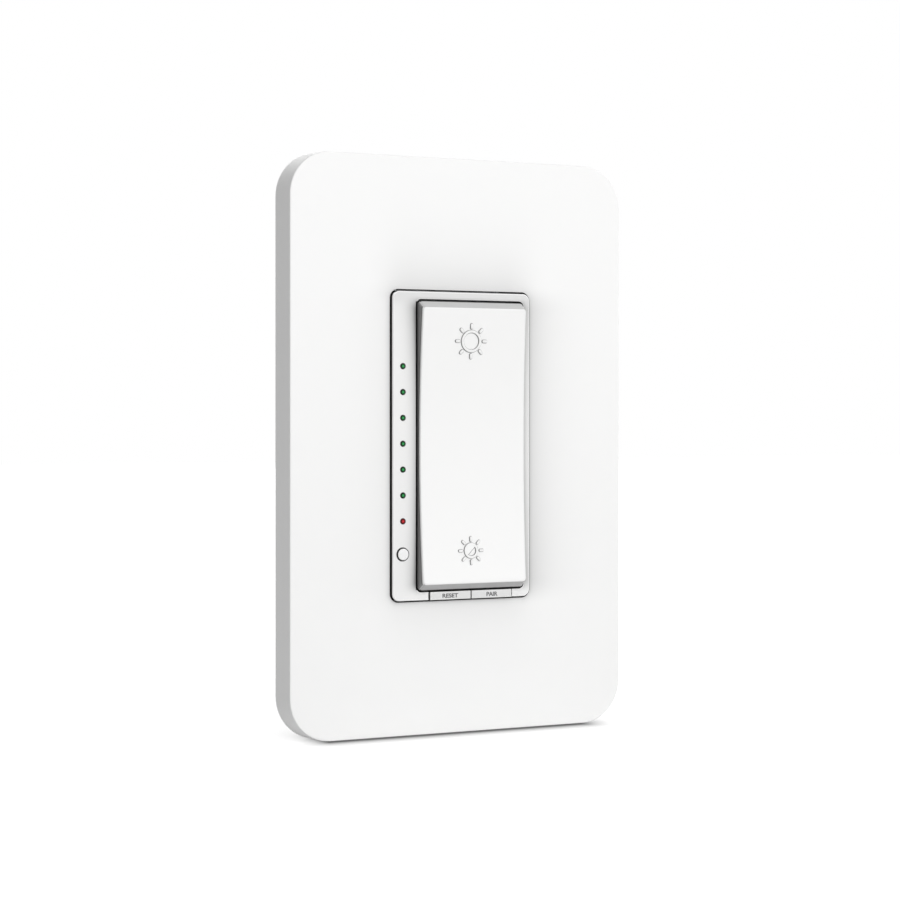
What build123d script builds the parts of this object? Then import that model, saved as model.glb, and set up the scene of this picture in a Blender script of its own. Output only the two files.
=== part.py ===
from build123d import *
import math
import os

# Smart dimmer switch for a wall box, in millimetres.
# The wall is the plane y = 0. The front faces -Y, +Z is up and +X is to the right seen from the front.
# A height h is measured from the wall towards the room, so h = -y. The origin lies midway
# between the two box screws.

# Driving dimensions
# Cover plate
PLATE_W = 80.4
PLATE_T = 7.2
PLATE_R = 9.3
PLATE_WALL = 2.0
PLATE_DRAFT = 0.3
PLATE_EDGE_R = 0.3
PLATE_GAP = 0.35
PLATE_END = 14.0
PRY_SLOT_W = 8.0
PRY_SLOT_T = 1.2

# Device face
BEZEL_SIDE = 6.3
BEZEL_SETBACK = 8.3
BEZEL_R = 1.6
BEZEL_PROUD = 0.8
BEZEL_EDGE_R = 0.4
BEZEL_FRONT_WALL = 1.6
BEZEL_SIDE_WALL = 1.4

# Rocker window and rocker
WINDOW_LEFT_MARGIN = 5.6
WINDOW_RIGHT_MARGIN = 1.5
WINDOW_END_MARGIN = 1.75
WINDOW_R = 1.2
WINDOW_EDGE_R = 0.2
ROCKER_GAP = 0.35
ROCKER_WALL = 1.6
ROCKER_RIM_H = 3.2
ROCKER_MID_PROUD = 1.05
ROCKER_END_PROUD = 2.35
ROCKER_SHOULDER = 0.25
ROCKER_END_INSET = 1.5
ROCKER_SIDE_INSET = 0.25
ROCKER_FACE_R = 0.7
ROCKER_EDGE_R = 0.3
ROCKER_TILT = 2.0
PIN_D = 2.4
PIN_L = 1.35
PIN_DEPTH = 3.0
PIN_CLEARANCE = 0.05
PIN_CHAMFER = 0.25
LIGHT_BAFFLE = 1.5

# Keys below the rocker and the round button
KEY_LEFT_MARGIN = 3.1
KEY_RIGHT_MARGIN = 3.05
KEY_GAP = 0.26
KEY_PROUD = 0.25
KEY_CAP_T = 3.0
KEY_EDGE_R = 0.15
KEY_STEM_SHARE = 0.4
KEY_STEM_SETBACK = 0.3
KEY_LUG_REACH = 0.8
KEY_LUG_T = 0.8
KEY_SHOULDER_T = 1.05
KEY_SEAT_GAP = 0.2
KEY_TRAVEL = 0.5
KEY_REST_GAP = 0.3
KEY_NOTCH_LAP = 0.4
BRIDGE_T = 0.5
BRIDGE_L = 2.6
BUTTON_SETBACK = 8.3
BUTTON_D = 2.5
BUTTON_GAP = 0.2
BUTTON_PROUD = 0.3
BUTTON_FLANGE_D = 3.0
BUTTON_FLANGE_GAP = 0.25
BUTTON_FLANGE_T = 0.8
BUTTON_STEM_D = 1.4
BUTTON_EDGE_R = 0.2

# Row of lights
LIGHT_SIDE = 2.4
LIGHT_HEAD = 14.5
LIGHT_FOOT = 15.4
LIGHT_COUNT = 7
LIGHT_D = 1.15
LIGHT_GAP = 0.05
LIGHT_PROUD = 0.12
LIGHT_BAR_T = 1.4
LIGHT_BAR_W = 1.8
LIGHT_LEG_D = 0.9
LIGHT_LED_GAP = 0.3

# Mounting strap
STRAP_T = 1.4
STRAP_W = 46.0
STRAP_END = 4.6
STRAP_STEP_W = 8.0
STRAP_STEP_H = 2.0
STRAP_R = 3.0
EAR_SLOT_W = 1.0
EAR_SLOT_L = 3.2
EAR_SLOT_X = 7.5
HOOK_GAP = 0.1
HOOK_DEPTH = 0.6
HOOK_REACH = 0.4
OPENING_POST_GAP = 0.7
OPENING_TOP_SETBACK = 10.0
OPENING_BOTTOM_SETBACK = 0.6
BOX_SCREW_SPACING = 83.3
BOX_SCREW_D = 3.5
BOX_SCREW_NECK_D = 3.0
BOX_SCREW_TIP = 0.6
BOX_SCREW_HEAD_D = 7.0
BOX_SCREW_HEAD_T = 2.2
BOX_SCREW_L = 25.4
BOX_SLOT_W = 4.2
BOX_SLOT_L = 8.0
PLATE_SCREW_OUTSET = 6.75
PLATE_SCREW_D = 3.5
PLATE_SCREW_HEAD_D = 6.5
PLATE_SCREW_HEAD_T = 1.9
PLATE_SCREW_L = 8.0
SCREW_FIT = 0.05
SCREW_SLOT_W = 0.8
HEAD_ROUND_SHARE = 0.33
GROUND_TAB_L = 10.0
GROUND_TAB_W = 10.0
GROUND_TAB_SETBACK = 10.0
GROUND_SCREW_D = 3.5
GROUND_HEAD_D = 7.0
GROUND_HEAD_T = 1.8
GROUND_WASHER_T = 0.6
GROUND_HEX_R = 3.1

# Carrier that the cover plate snaps on
SUB_T = 1.6
SUB_SIDE_GAP = 0.8
SUB_RIM_T = 1.5
SUB_OPENING_GAP = 0.5
SUB_SCREW_HOLE_D = 4.2
SUB_ACCESS_D = 9.0
SNAP_REACH = 0.5
SNAP_L = 9.0
SNAP_BOTTOM_H = 1.1
SNAP_TOP_H = 2.1
SNAP_LIP_H = 0.9
SNAP_LIP_REACH = 0.6
SNAP_END = 24.4

# Rear housing
HOUSING_SETBACK = 5.65
HOUSING_D = 36.0
HOUSING_R = 3.0
HOUSING_WALL = 2.0
HOUSING_EDGE_R = 1.2
HOUSING_TAB_GAP = 0.3
PANEL_MARGIN_X = 3.0
PANEL_MARGIN_Z = 12.0
PANEL_DEPTH = 0.4
POST_D = 5.6
POST_SIDE = 2.9
POST_END = 5.0
HOUSING_SCREW_D = 2.6
HOUSING_SCREW_HEAD_D = 4.8
HOUSING_SCREW_L = 11.0

# Boards
BOARD_T = 1.6
CONTROL_H = -1.0
CONTROL_SIDE_GAP = 0.3
CONTROL_TOP_LAP = 0.5
CONTROL_END_GAP = 0.4
LEDGE_X = 2.0
LEDGE_Z = 12.0
LEDGE_L = 4.0
MAIN_STANDOFF = 1.0
MAIN_SIDE_GAP = 0.6
MAIN_END_GAP = 1.0
STANDOFF_INSET_X = 2.0
STANDOFF_INSET_Z = 3.0
STANDOFF_D = 3.0

# Push switches on the control board
ROCKER_SWITCH_SETBACK = 11.6
ROCKER_SWITCH_W = 6.0
ROCKER_SWITCH_BODY = 3.5
ROCKER_SWITCH_CAP_D = 3.5
ROCKER_SWITCH_CAP = 0.8
ROCKER_LIMIT_GAP = 0.35
PLUNGER_D = 4.0
SMALL_SWITCH_W = 3.0
SMALL_SWITCH_BODY = 1.4
SMALL_SWITCH_CAP_D = 1.8
SMALL_SWITCH_CAP = 0.6
KEY_SWITCH_SETBACK = 0.5
BUTTON_SWITCH_SHIFT = 0.7
BUTTON_SWITCH_W = 2.4
LED_W = 1.2
LED_L = 2.0
LED_T = 0.8

# Deck and return spring
DECK_LIGHT_GAP = 3.3
DECK_SIDE_GAP = 0.7
DECK_TOP_GAP = 0.4
DECK_KEY_GAP = 2.2
DECK_R = 1.0
DECK_SWITCH_GAP = 0.3
BOARD_NOTCH_GAP = 0.6
SPRING_BLOCK_W = 8.0
SPRING_BLOCK_L = 7.0
SPRING_BLOCK_T = 1.8
SPRING_T = 0.3
SPRING_W = 6.0
SPRING_SWITCH_GAP = 7.0
SPRING_FOOT_L = 1.2
SPRING_SCREW_D = 2.0
SPRING_SCREW_HEAD_D = 4.0
SPRING_SCREW_HEAD_T = 1.3
SPRING_SCREW_L = 4.5
SPRING_TIP_GAP = 0.1
RIB_T = 1.0
RIB_X = 6.0
RIB_DEPTH = 0.55
CROSS_RIB_DEPTH = 0.65

# Power parts
HEAT_SINK_T = 2.0
SINK_POST_GAP = 3.6
HEAT_SINK_FOOT = 6.0
SINK_BOARD_GAP = 3.4
TRANSISTOR_GAP = 1.0
TRANSISTOR_SPREAD = 0.2
TRANSISTOR_T = 4.5
TRANSISTOR_L = 9.0
TRANSISTOR_TAB_T = 1.3
TRANSISTOR_TAB_L = 6.4
TRANSISTOR_STAND = 4.4
TRANSISTOR_PITCH = 2.54
TRANSISTOR_LEG = 0.8
TRANSISTOR_LEG_T = 0.4
TRANSISTOR_HOLE_D = 3.4
PAD_T = 0.4
TAB_SCREW_D = 3.0
TAB_SCREW_HEAD_D = 5.5
TAB_SCREW_HEAD_T = 2.0
RISER_Z = 0.8
RISER_INSET = 3.0
HEADER_OVERHANG = 0.15
HEADER_T = 2.5
HEADER_BODY = 6.0
RADIO_W = 18.0
RADIO_L = 13.0
RADIO_T = 0.8
RADIO_CAN_T = 2.2
RADIO_CAN_INSET = 1.0
RADIO_ANTENNA_L = 4.0
CORE_L = 13.0
CORE_T = 12.0
CORE_LEG = 3.0
CORE_Z = 10.5
WINDING_INSET = 2.0
PART_SPREAD = 0.5
CHOKE_BORE_SHARE = 0.42
CHOKE_Z = 11.0
CAP_MARGIN = 1.5
CAP_L = 18.0
CAP_END = 11.0
CAP_EDGE_R = 0.8
FILM_MARGIN = 1.0
FILM_T = 6.0
FILM_L = 13.0
FILM_END = 7.0
VARISTOR_MARGIN = 2.0
VARISTOR_T = 4.0
VARISTOR_SHIFT = 2.5
VARISTOR_LEG = 2.0
VARISTOR_EDGE_R = 1.3
FUSE_D = 3.8
FUSE_L = 9.0
FUSE_SHIFT = 1.0
FUSE_EDGE_R = 0.45

# Wire terminals in the housing's sides
TERMINAL_Z = 7.0
TERMINAL_W = 9.0
TERMINAL_TOP = -12.0
TERMINAL_L = 12.0
TERMINAL_DEPTH = 6.2
TERMINAL_FLOOR = 1.5
TERMINAL_MARGIN = 2.0
PLATE_METAL_T = 1.0
PLATE_METAL_W = 8.0
WIRE_ENTRY_D = 2.6
WIRE_GAP = 2.2
WIRE_ENTRY_Z = 2.6
CLAMP_SCREW_D = 3.5
CLAMP_HEAD_D = 6.4
CLAMP_HEAD_T = 1.7
CLAMP_CLEARANCE = 0.2

# Heights that follow from the spacing of the box screws
PLATE_SCREW_SPACING = BOX_SCREW_SPACING + 2 * PLATE_SCREW_OUTSET
PLATE_H = PLATE_SCREW_SPACING + 2 * PLATE_END
STRAP_H = PLATE_SCREW_SPACING + 2 * STRAP_END
HOUSING_H = BOX_SCREW_SPACING - 2 * HOUSING_SETBACK
BEZEL_H = BOX_SCREW_SPACING - 2 * BEZEL_SETBACK
WINDOW_H = BEZEL_H - 2 * WINDOW_END_MARGIN
STRAP_MIDDLE_H = HOUSING_H + 2 * STRAP_STEP_H
STRAP_OPENING_TOP = HOUSING_H / 2 - OPENING_TOP_SETBACK
STRAP_OPENING_BOTTOM = -(WINDOW_H / 2 - OPENING_BOTTOM_SETBACK)
GROUND_TAB_Z = -(HOUSING_H / 2 - GROUND_TAB_SETBACK)
SNAP_ROW_Z = PLATE_H / 2 - SNAP_END
POST_Z = HOUSING_H / 2 - POST_END
CONTROL_TOP_Z = STRAP_OPENING_TOP + CONTROL_TOP_LAP
CONTROL_BOTTOM_Z = -(HOUSING_H / 2 - HOUSING_WALL - CONTROL_END_GAP)
DECK_TOP_Z = STRAP_OPENING_TOP - DECK_TOP_GAP
DECK_BOTTOM_Z = STRAP_OPENING_BOTTOM + DECK_KEY_GAP
MAIN_H = HOUSING_H - 2 * (HOUSING_WALL + MAIN_END_GAP)
STANDOFF_Z = MAIN_H / 2 - STANDOFF_INSET_Z
ROCKER_SWITCH_Z = WINDOW_H / 2 - ROCKER_SWITCH_SETBACK
SPRING_REACH = ROCKER_SWITCH_Z - SPRING_SWITCH_GAP
KEY_BOTTOM_Z = -BEZEL_H / 2
KEY_TOP_Z = -WINDOW_H / 2
KEY_SWITCH_Z = KEY_TOP_Z - KEY_SWITCH_SETBACK
BUTTON_Z = -(WINDOW_H / 2 - BUTTON_SETBACK)
LIGHT_TOP_Z = WINDOW_H / 2 - LIGHT_HEAD
LIGHT_PITCH = (WINDOW_H - LIGHT_HEAD - LIGHT_FOOT) / (LIGHT_COUNT - 1)
LIGHT_ZS = [LIGHT_TOP_Z - index * LIGHT_PITCH for index in range(LIGHT_COUNT)]
RADIO_Z = (CONTROL_TOP_Z + RISER_Z + BOARD_T / 2) / 2
CAP_Z = -(MAIN_H / 2 - CAP_END)
FILM_Z = -(MAIN_H / 2 - FILM_END)
VARISTOR_Z = CAP_Z / 2 + VARISTOR_SHIFT
FUSE_Z = FILM_Z / 2 + FUSE_SHIFT

# Widths that follow from the width of the strap
BEZEL_W = STRAP_W - 2 * BEZEL_SIDE
WINDOW_W = BEZEL_W - WINDOW_LEFT_MARGIN - WINDOW_RIGHT_MARGIN
WINDOW_X = (WINDOW_LEFT_MARGIN - WINDOW_RIGHT_MARGIN) / 2
WINDOW_LEFT = WINDOW_X - WINDOW_W / 2
STRAP_END_W = STRAP_W - 2 * STRAP_STEP_W
HOUSING_W = STRAP_W - 2 * (STRAP_T + HOUSING_TAB_GAP)
POST_X = HOUSING_W / 2 - POST_SIDE
STRAP_OPENING_W = 2 * (POST_X - HOUSING_SCREW_HEAD_D / 2 - OPENING_POST_GAP)
DECK_LEFT = -STRAP_OPENING_W / 2 + DECK_LIGHT_GAP
DECK_RIGHT = STRAP_OPENING_W / 2 - DECK_SIDE_GAP
KEY_LEFT = WINDOW_LEFT + KEY_LEFT_MARGIN
KEY_RIGHT = WINDOW_LEFT + WINDOW_W - KEY_RIGHT_MARGIN
KEY_MIDDLE = (KEY_LEFT + KEY_RIGHT) / 2
KEY_STEM_XS = [(KEY_LEFT + KEY_MIDDLE) / 2, (KEY_MIDDLE + KEY_RIGHT) / 2]
KEY_STEM_W = KEY_STEM_SHARE * (KEY_MIDDLE - KEY_LEFT)
LIGHT_X = -BEZEL_W / 2 + LIGHT_SIDE
BUTTON_X = LIGHT_X
BUTTON_SWITCH_X = BUTTON_X + BUTTON_SWITCH_SHIFT
CONTROL_W = HOUSING_W - 2 * (HOUSING_WALL + CONTROL_SIDE_GAP)
TERMINAL_FLOOR_X = HOUSING_W / 2 - TERMINAL_DEPTH
MAIN_W = 2 * (TERMINAL_FLOOR_X - TERMINAL_FLOOR - MAIN_SIDE_GAP)
STANDOFF_X = MAIN_W / 2 - STANDOFF_INSET_X
RISER_W = MAIN_W - 2 * RISER_INSET
HEADER_W = RISER_W + 2 * HEADER_OVERHANG
HEAT_SINK_W = 2 * (POST_X - POST_D / 2 - SINK_POST_GAP)
TRANSISTOR_W = HEAT_SINK_W / 2 - 2 * TRANSISTOR_GAP
TRANSISTOR_X = HEAT_SINK_W / 4 + TRANSISTOR_SPREAD
CORE_W = MAIN_W / 2
CORE_X = PART_SPREAD - MAIN_W / 4
WINDING_D = CORE_W - 2 * WINDING_INSET
CHOKE_OD = MAIN_W / 2 - 2 * PART_SPREAD
CHOKE_BORE_D = CHOKE_BORE_SHARE * CHOKE_OD
CHOKE_X = MAIN_W / 4 + PART_SPREAD
CAP_D = MAIN_W / 2 - 2 * CAP_MARGIN
FILM_W = MAIN_W / 2 - 2 * FILM_MARGIN
VARISTOR_D = MAIN_W / 2 - 2 * VARISTOR_MARGIN
CAP_X = -MAIN_W / 4
VARISTOR_X = -MAIN_W / 4
FILM_X = MAIN_W / 4
FUSE_X = MAIN_W / 4

# Depths and other sizes that follow
BEZEL_H_FACE = PLATE_T + BEZEL_PROUD
BEZEL_UNDER = BEZEL_H_FACE - BEZEL_FRONT_WALL
OPENING_W = BEZEL_W + 2 * PLATE_GAP
OPENING_H = BEZEL_H + 2 * PLATE_GAP
OPENING_R = BEZEL_R + PLATE_GAP
ROCKER_W = WINDOW_W - 2 * ROCKER_GAP
ROCKER_H = WINDOW_H - 2 * ROCKER_GAP
ROCKER_R = WINDOW_R - ROCKER_GAP
ROCKER_MID_H = BEZEL_H_FACE + ROCKER_MID_PROUD
ROCKER_END_H = BEZEL_H_FACE + ROCKER_END_PROUD
ROCKER_FACE_Z = ROCKER_H / 2 - ROCKER_END_INSET
ROCKER_SHOULDER_H = BEZEL_H_FACE + ROCKER_SHOULDER
ROCKER_SAG = ROCKER_END_H - ROCKER_MID_H
ROCKER_ARC_R = (ROCKER_FACE_Z**2 + ROCKER_SAG**2) / (2 * ROCKER_SAG)
ROCKER_LEFT = WINDOW_X - ROCKER_W / 2
ROCKER_RIGHT = WINDOW_X + ROCKER_W / 2
PIN_H = BEZEL_H_FACE - PIN_DEPTH
RIB_H = ROCKER_MID_H - ROCKER_WALL - RIB_DEPTH
CROSS_RIB_H = ROCKER_MID_H - ROCKER_WALL - CROSS_RIB_DEPTH
CONTROL_BACK = CONTROL_H - BOARD_T
SMALL_SWITCH_TOP = CONTROL_H + SMALL_SWITCH_BODY + SMALL_SWITCH_CAP
ROCKER_SWITCH_TOP = CONTROL_H + ROCKER_SWITCH_BODY + ROCKER_SWITCH_CAP
PLUNGER_END_H = (
    ROCKER_SWITCH_TOP + ROCKER_LIMIT_GAP + ROCKER_SWITCH_Z * math.tan(math.radians(ROCKER_TILT))
)
KEY_STEM_END_H = SMALL_SWITCH_TOP + KEY_TRAVEL + KEY_REST_GAP
KEY_FACE_H = BEZEL_H_FACE + KEY_PROUD
KEY_NOTCH_H = KEY_FACE_H - KEY_CAP_T - KEY_TRAVEL - KEY_REST_GAP
KEY_SHOULDER_H = KEY_NOTCH_H - KEY_SHOULDER_T
LIGHT_BAR_MARGIN = LIGHT_BAR_W / 2
HOUSING_FLOOR = -HOUSING_D + HOUSING_WALL
MAIN_BACK = HOUSING_FLOOR + MAIN_STANDOFF
MAIN_FRONT = MAIN_BACK + BOARD_T
TRANSISTOR_H = MAIN_FRONT + TRANSISTOR_STAND
HEAT_SINK_L = -MAIN_FRONT - SINK_BOARD_GAP
SPRING_SEAT_H = STRAP_T + SPRING_BLOCK_T
SPRING_RISE = CROSS_RIB_H - SPRING_TIP_GAP - SPRING_T - SPRING_SEAT_H
SUB_HALF_W = PLATE_W / 2 - PLATE_WALL - SUB_SIDE_GAP
SUB_HALF_H = PLATE_H / 2 - PLATE_WALL - SUB_SIDE_GAP
SUB_R = PLATE_R - PLATE_WALL - SUB_SIDE_GAP
SUB_TOP = STRAP_T + SUB_T
BOX_SCREW_ZS = [BOX_SCREW_SPACING / 2, -BOX_SCREW_SPACING / 2]
PLATE_SCREW_ZS = [PLATE_SCREW_SPACING / 2, -PLATE_SCREW_SPACING / 2]
POSTS = [(x, z) for x in (POST_X, -POST_X) for z in (POST_Z, -POST_Z)]
TERMINALS = [(side, z) for side in (1, -1) for z in (TERMINAL_Z, -TERMINAL_Z)]


def front(height):
    """The plane parallel to the wall at a height, drawn on as seen from the front."""
    return Plane.XZ.offset(height)


def side(x):
    """The upright plane across X at x, with its own axes along Y and Z."""
    return Plane.YZ.offset(x)


def block(x_range, h_range, z_range, mode=Mode.ADD):
    """A plain block between two places along each axis, in the part being built."""
    x_low, x_high = sorted(x_range)
    h_low, h_high = sorted(h_range)
    z_low, z_high = sorted(z_range)
    middle = ((x_low + x_high) / 2, -(h_low + h_high) / 2, (z_low + z_high) / 2)
    with Locations(middle):
        Box(x_high - x_low, h_high - h_low, z_high - z_low, mode=mode)


def finish(builder, name):
    """Label a finished piece and write it to its own file."""
    builder.part.label = name
    export_step(builder.part, f"parts/{name}.step")


os.makedirs("parts", exist_ok=True)


# Cover plate: a drafted shell with large round corners, a plain front and snap lips inside
with BuildPart() as wall_plate:
    with BuildSketch(front(0)):
        RectangleRounded(PLATE_W + 2 * PLATE_DRAFT, PLATE_H + 2 * PLATE_DRAFT, PLATE_R + PLATE_DRAFT)
    extrude(amount=PLATE_T, taper=math.degrees(math.atan(PLATE_DRAFT / PLATE_T)))
    fillet(wall_plate.faces().sort_by(Axis.Y)[0].edges(), radius=PLATE_EDGE_R)
    with BuildSketch(front(0)):
        RectangleRounded(PLATE_W - 2 * PLATE_WALL, PLATE_H - 2 * PLATE_WALL, PLATE_R - PLATE_WALL)
    extrude(amount=PLATE_T - PLATE_WALL, mode=Mode.SUBTRACT)
    with BuildSketch(front(0)):
        RectangleRounded(OPENING_W, OPENING_H, OPENING_R)
    extrude(amount=PLATE_T, mode=Mode.SUBTRACT)
    # Snap lips that hook behind the carrier's noses
    for x_sign in (1, -1):
        inner = PLATE_W / 2 - PLATE_WALL
        for z in (SNAP_ROW_Z, 0, -SNAP_ROW_Z):
            block(
                (x_sign * (inner + PLATE_WALL / 2), x_sign * (inner - SNAP_LIP_REACH)),
                (0, SNAP_LIP_H),
                (z - SNAP_L / 2, z + SNAP_L / 2),
            )
    # Pry slot in the lower rim
    block(
        (-PRY_SLOT_W / 2, PRY_SLOT_W / 2),
        (0, PRY_SLOT_T),
        (-PLATE_H / 2 - PLATE_DRAFT, -PLATE_H / 2 + PLATE_WALL),
        mode=Mode.SUBTRACT,
    )
    # Ribs that keep the front at its distance from the carrier
    for x_sign in (1, -1):
        for z_sign in (1, -1):
            rib_z = z_sign * (OPENING_H / 2 + PLATE_WALL)
            block(
                (x_sign * OPENING_W / 2, x_sign * (OPENING_W / 2 - SNAP_L)),
                (SUB_TOP, PLATE_T - PLATE_WALL / 2),
                (rib_z, rib_z + z_sign * RIB_T),
            )
            block(
                (x_sign * (SUB_HALF_W - SUB_RIM_T), x_sign * (SUB_HALF_W - SUB_RIM_T - RIB_T)),
                (SUB_TOP, PLATE_T - PLATE_WALL / 2),
                (z_sign * SNAP_ROW_Z / 2, z_sign * (SNAP_ROW_Z / 2 + SNAP_L)),
            )
finish(wall_plate, "wall_plate")


# Carrier under the cover plate: a flat ring with a rim to the wall and snap noses on its sides
with BuildPart() as sub_plate:
    with BuildSketch(front(0)):
        RectangleRounded(2 * SUB_HALF_W, 2 * SUB_HALF_H, SUB_R)
    extrude(amount=SUB_TOP)
    fillet(sub_plate.faces().sort_by(Axis.Y)[0].edges(), radius=PLATE_EDGE_R)
    with BuildSketch(front(0)):
        RectangleRounded(2 * (SUB_HALF_W - SUB_RIM_T), 2 * (SUB_HALF_H - SUB_RIM_T), SUB_R - SUB_RIM_T)
    extrude(amount=STRAP_T, mode=Mode.SUBTRACT)
    with BuildSketch(front(0)):
        RectangleRounded(BEZEL_W + 2 * SUB_OPENING_GAP, BEZEL_H + 2 * SUB_OPENING_GAP, BEZEL_R)
        with Locations(*[(0, z) for z in PLATE_SCREW_ZS]):
            Circle(SUB_SCREW_HOLE_D / 2)
        with Locations(*[(0, z) for z in BOX_SCREW_ZS]):
            Circle(SUB_ACCESS_D / 2)
    extrude(amount=SUB_TOP, mode=Mode.SUBTRACT)
    for x_sign in (1, -1):
        for z in (SNAP_ROW_Z, 0, -SNAP_ROW_Z):
            block(
                (x_sign * (SUB_HALF_W - SUB_RIM_T / 2), x_sign * (SUB_HALF_W + SNAP_REACH)),
                (SNAP_BOTTOM_H, SNAP_TOP_H),
                (z - SNAP_L / 2, z + SNAP_L / 2),
            )
finish(sub_plate, "sub_plate")


# The two screws that hold the carrier on the strap, with slotted pan heads
with BuildPart() as sub_plate_screws:
    for z in PLATE_SCREW_ZS:
        with BuildSketch(front(SUB_TOP)):
            with Locations((0, z)):
                Circle(PLATE_SCREW_HEAD_D / 2)
        extrude(amount=PLATE_SCREW_HEAD_T)
        with BuildSketch(front(SUB_TOP)):
            with Locations((0, z)):
                Circle(PLATE_SCREW_D / 2)
        extrude(amount=-PLATE_SCREW_L)
    head_rims = sub_plate_screws.faces().group_by(Axis.Y)[0].edges()
    fillet(head_rims, radius=PLATE_SCREW_HEAD_T * HEAD_ROUND_SHARE)
    for z in PLATE_SCREW_ZS:
        block(
            (-PLATE_SCREW_HEAD_D / 2, PLATE_SCREW_HEAD_D / 2),
            (SUB_TOP + PLATE_SCREW_HEAD_T / 2, SUB_TOP + PLATE_SCREW_HEAD_T),
            (z - SCREW_SLOT_W / 2, z + SCREW_SLOT_W / 2),
            mode=Mode.SUBTRACT,
        )
finish(sub_plate_screws, "sub_plate_screws")


# Mounting strap: pressed sheet metal with end holes and a folded earthing tab
with BuildPart() as mounting_strap:
    with BuildSketch(front(0)):
        RectangleRounded(STRAP_W, STRAP_MIDDLE_H, STRAP_R)
        RectangleRounded(STRAP_END_W, STRAP_H, STRAP_R)
        with Locations((0, (STRAP_OPENING_TOP + STRAP_OPENING_BOTTOM) / 2)):
            RectangleRounded(
                STRAP_OPENING_W, STRAP_OPENING_TOP - STRAP_OPENING_BOTTOM, DECK_R, mode=Mode.SUBTRACT
            )
        key_slot_left = KEY_STEM_XS[0] - SMALL_SWITCH_W
        key_slot_right = KEY_STEM_XS[1] + SMALL_SWITCH_W
        key_slot_bottom = KEY_SWITCH_Z - SMALL_SWITCH_W / 2 - DECK_SWITCH_GAP
        key_slot_h = STRAP_OPENING_BOTTOM - key_slot_bottom + DECK_R
        with Locations(((key_slot_left + key_slot_right) / 2, key_slot_bottom + key_slot_h / 2)):
            Rectangle(key_slot_right - key_slot_left, key_slot_h, mode=Mode.SUBTRACT)
        with Locations(*[(0, z) for z in BOX_SCREW_ZS]):
            SlotOverall(BOX_SLOT_L, BOX_SLOT_W, mode=Mode.SUBTRACT)
        with Locations(*[(0, z) for z in PLATE_SCREW_ZS]):
            Circle(PLATE_SCREW_D / 2 + SCREW_FIT, mode=Mode.SUBTRACT)
        with Locations(*POSTS):
            Circle(HOUSING_SCREW_D / 2 + SCREW_FIT, mode=Mode.SUBTRACT)
        # Slots where the plaster ears snap off
        with GridLocations(2 * EAR_SLOT_X, PLATE_SCREW_SPACING, 2, 2):
            SlotOverall(EAR_SLOT_L, EAR_SLOT_W, rotation=90, mode=Mode.SUBTRACT)
        # Slots for the bezel's four hooks
        for x_sign in (1, -1):
            for z_sign in (1, -1):
                with Locations((x_sign * (BEZEL_W - BEZEL_SIDE_WALL) / 2, z_sign * ROCKER_SWITCH_Z)):
                    Rectangle(BEZEL_SIDE_WALL + 2 * HOOK_GAP, SNAP_L + 2 * HOOK_GAP, mode=Mode.SUBTRACT)
    extrude(amount=STRAP_T)
    # Countersinks for the housing screws
    for x, z in POSTS:
        with BuildSketch(front(STRAP_T)):
            with Locations((x, z)):
                Circle(HOUSING_SCREW_HEAD_D / 2 + SCREW_FIT)
        extrude(
            amount=-(HOUSING_SCREW_HEAD_D - HOUSING_SCREW_D) / 2, taper=45, mode=Mode.SUBTRACT
        )
    # Earthing tab folded back along the housing's side
    block(
        (-STRAP_W / 2, -STRAP_W / 2 + STRAP_T),
        (-GROUND_TAB_L, STRAP_T),
        (GROUND_TAB_Z - GROUND_TAB_W / 2, GROUND_TAB_Z + GROUND_TAB_W / 2),
    )
    with BuildSketch(side(-STRAP_W / 2)):
        with Locations((GROUND_TAB_L / 2, GROUND_TAB_Z)):
            Circle(GROUND_SCREW_D / 2 + SCREW_FIT)
    extrude(amount=STRAP_T, mode=Mode.SUBTRACT)
finish(mounting_strap, "mounting_strap")


# The two captive screws that go into the wall box, thinner in the neck than over the thread
with BuildPart() as box_screws:
    for z in BOX_SCREW_ZS:
        with BuildSketch(front(STRAP_T)):
            with Locations((0, z)):
                Circle(BOX_SCREW_HEAD_D / 2)
        extrude(amount=BOX_SCREW_HEAD_T)
        with BuildSketch(front(STRAP_T)):
            with Locations((0, z)):
                Circle(BOX_SCREW_NECK_D / 2)
        extrude(amount=-STRAP_T)
        with BuildSketch(front(0)):
            with Locations((0, z)):
                Circle(BOX_SCREW_D / 2)
        extrude(amount=STRAP_T - BOX_SCREW_L)
    fillet(box_screws.faces().group_by(Axis.Y)[0].edges(), radius=BOX_SCREW_HEAD_T * HEAD_ROUND_SHARE)
    chamfer(box_screws.faces().group_by(Axis.Y)[-1].edges(), length=BOX_SCREW_TIP)
    for z in BOX_SCREW_ZS:
        block(
            (-BOX_SCREW_HEAD_D / 2, BOX_SCREW_HEAD_D / 2),
            (STRAP_T + BOX_SCREW_HEAD_T / 2, STRAP_T + BOX_SCREW_HEAD_T),
            (z - SCREW_SLOT_W / 2, z + SCREW_SLOT_W / 2),
            mode=Mode.SUBTRACT,
        )
finish(box_screws, "box_screws")


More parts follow.
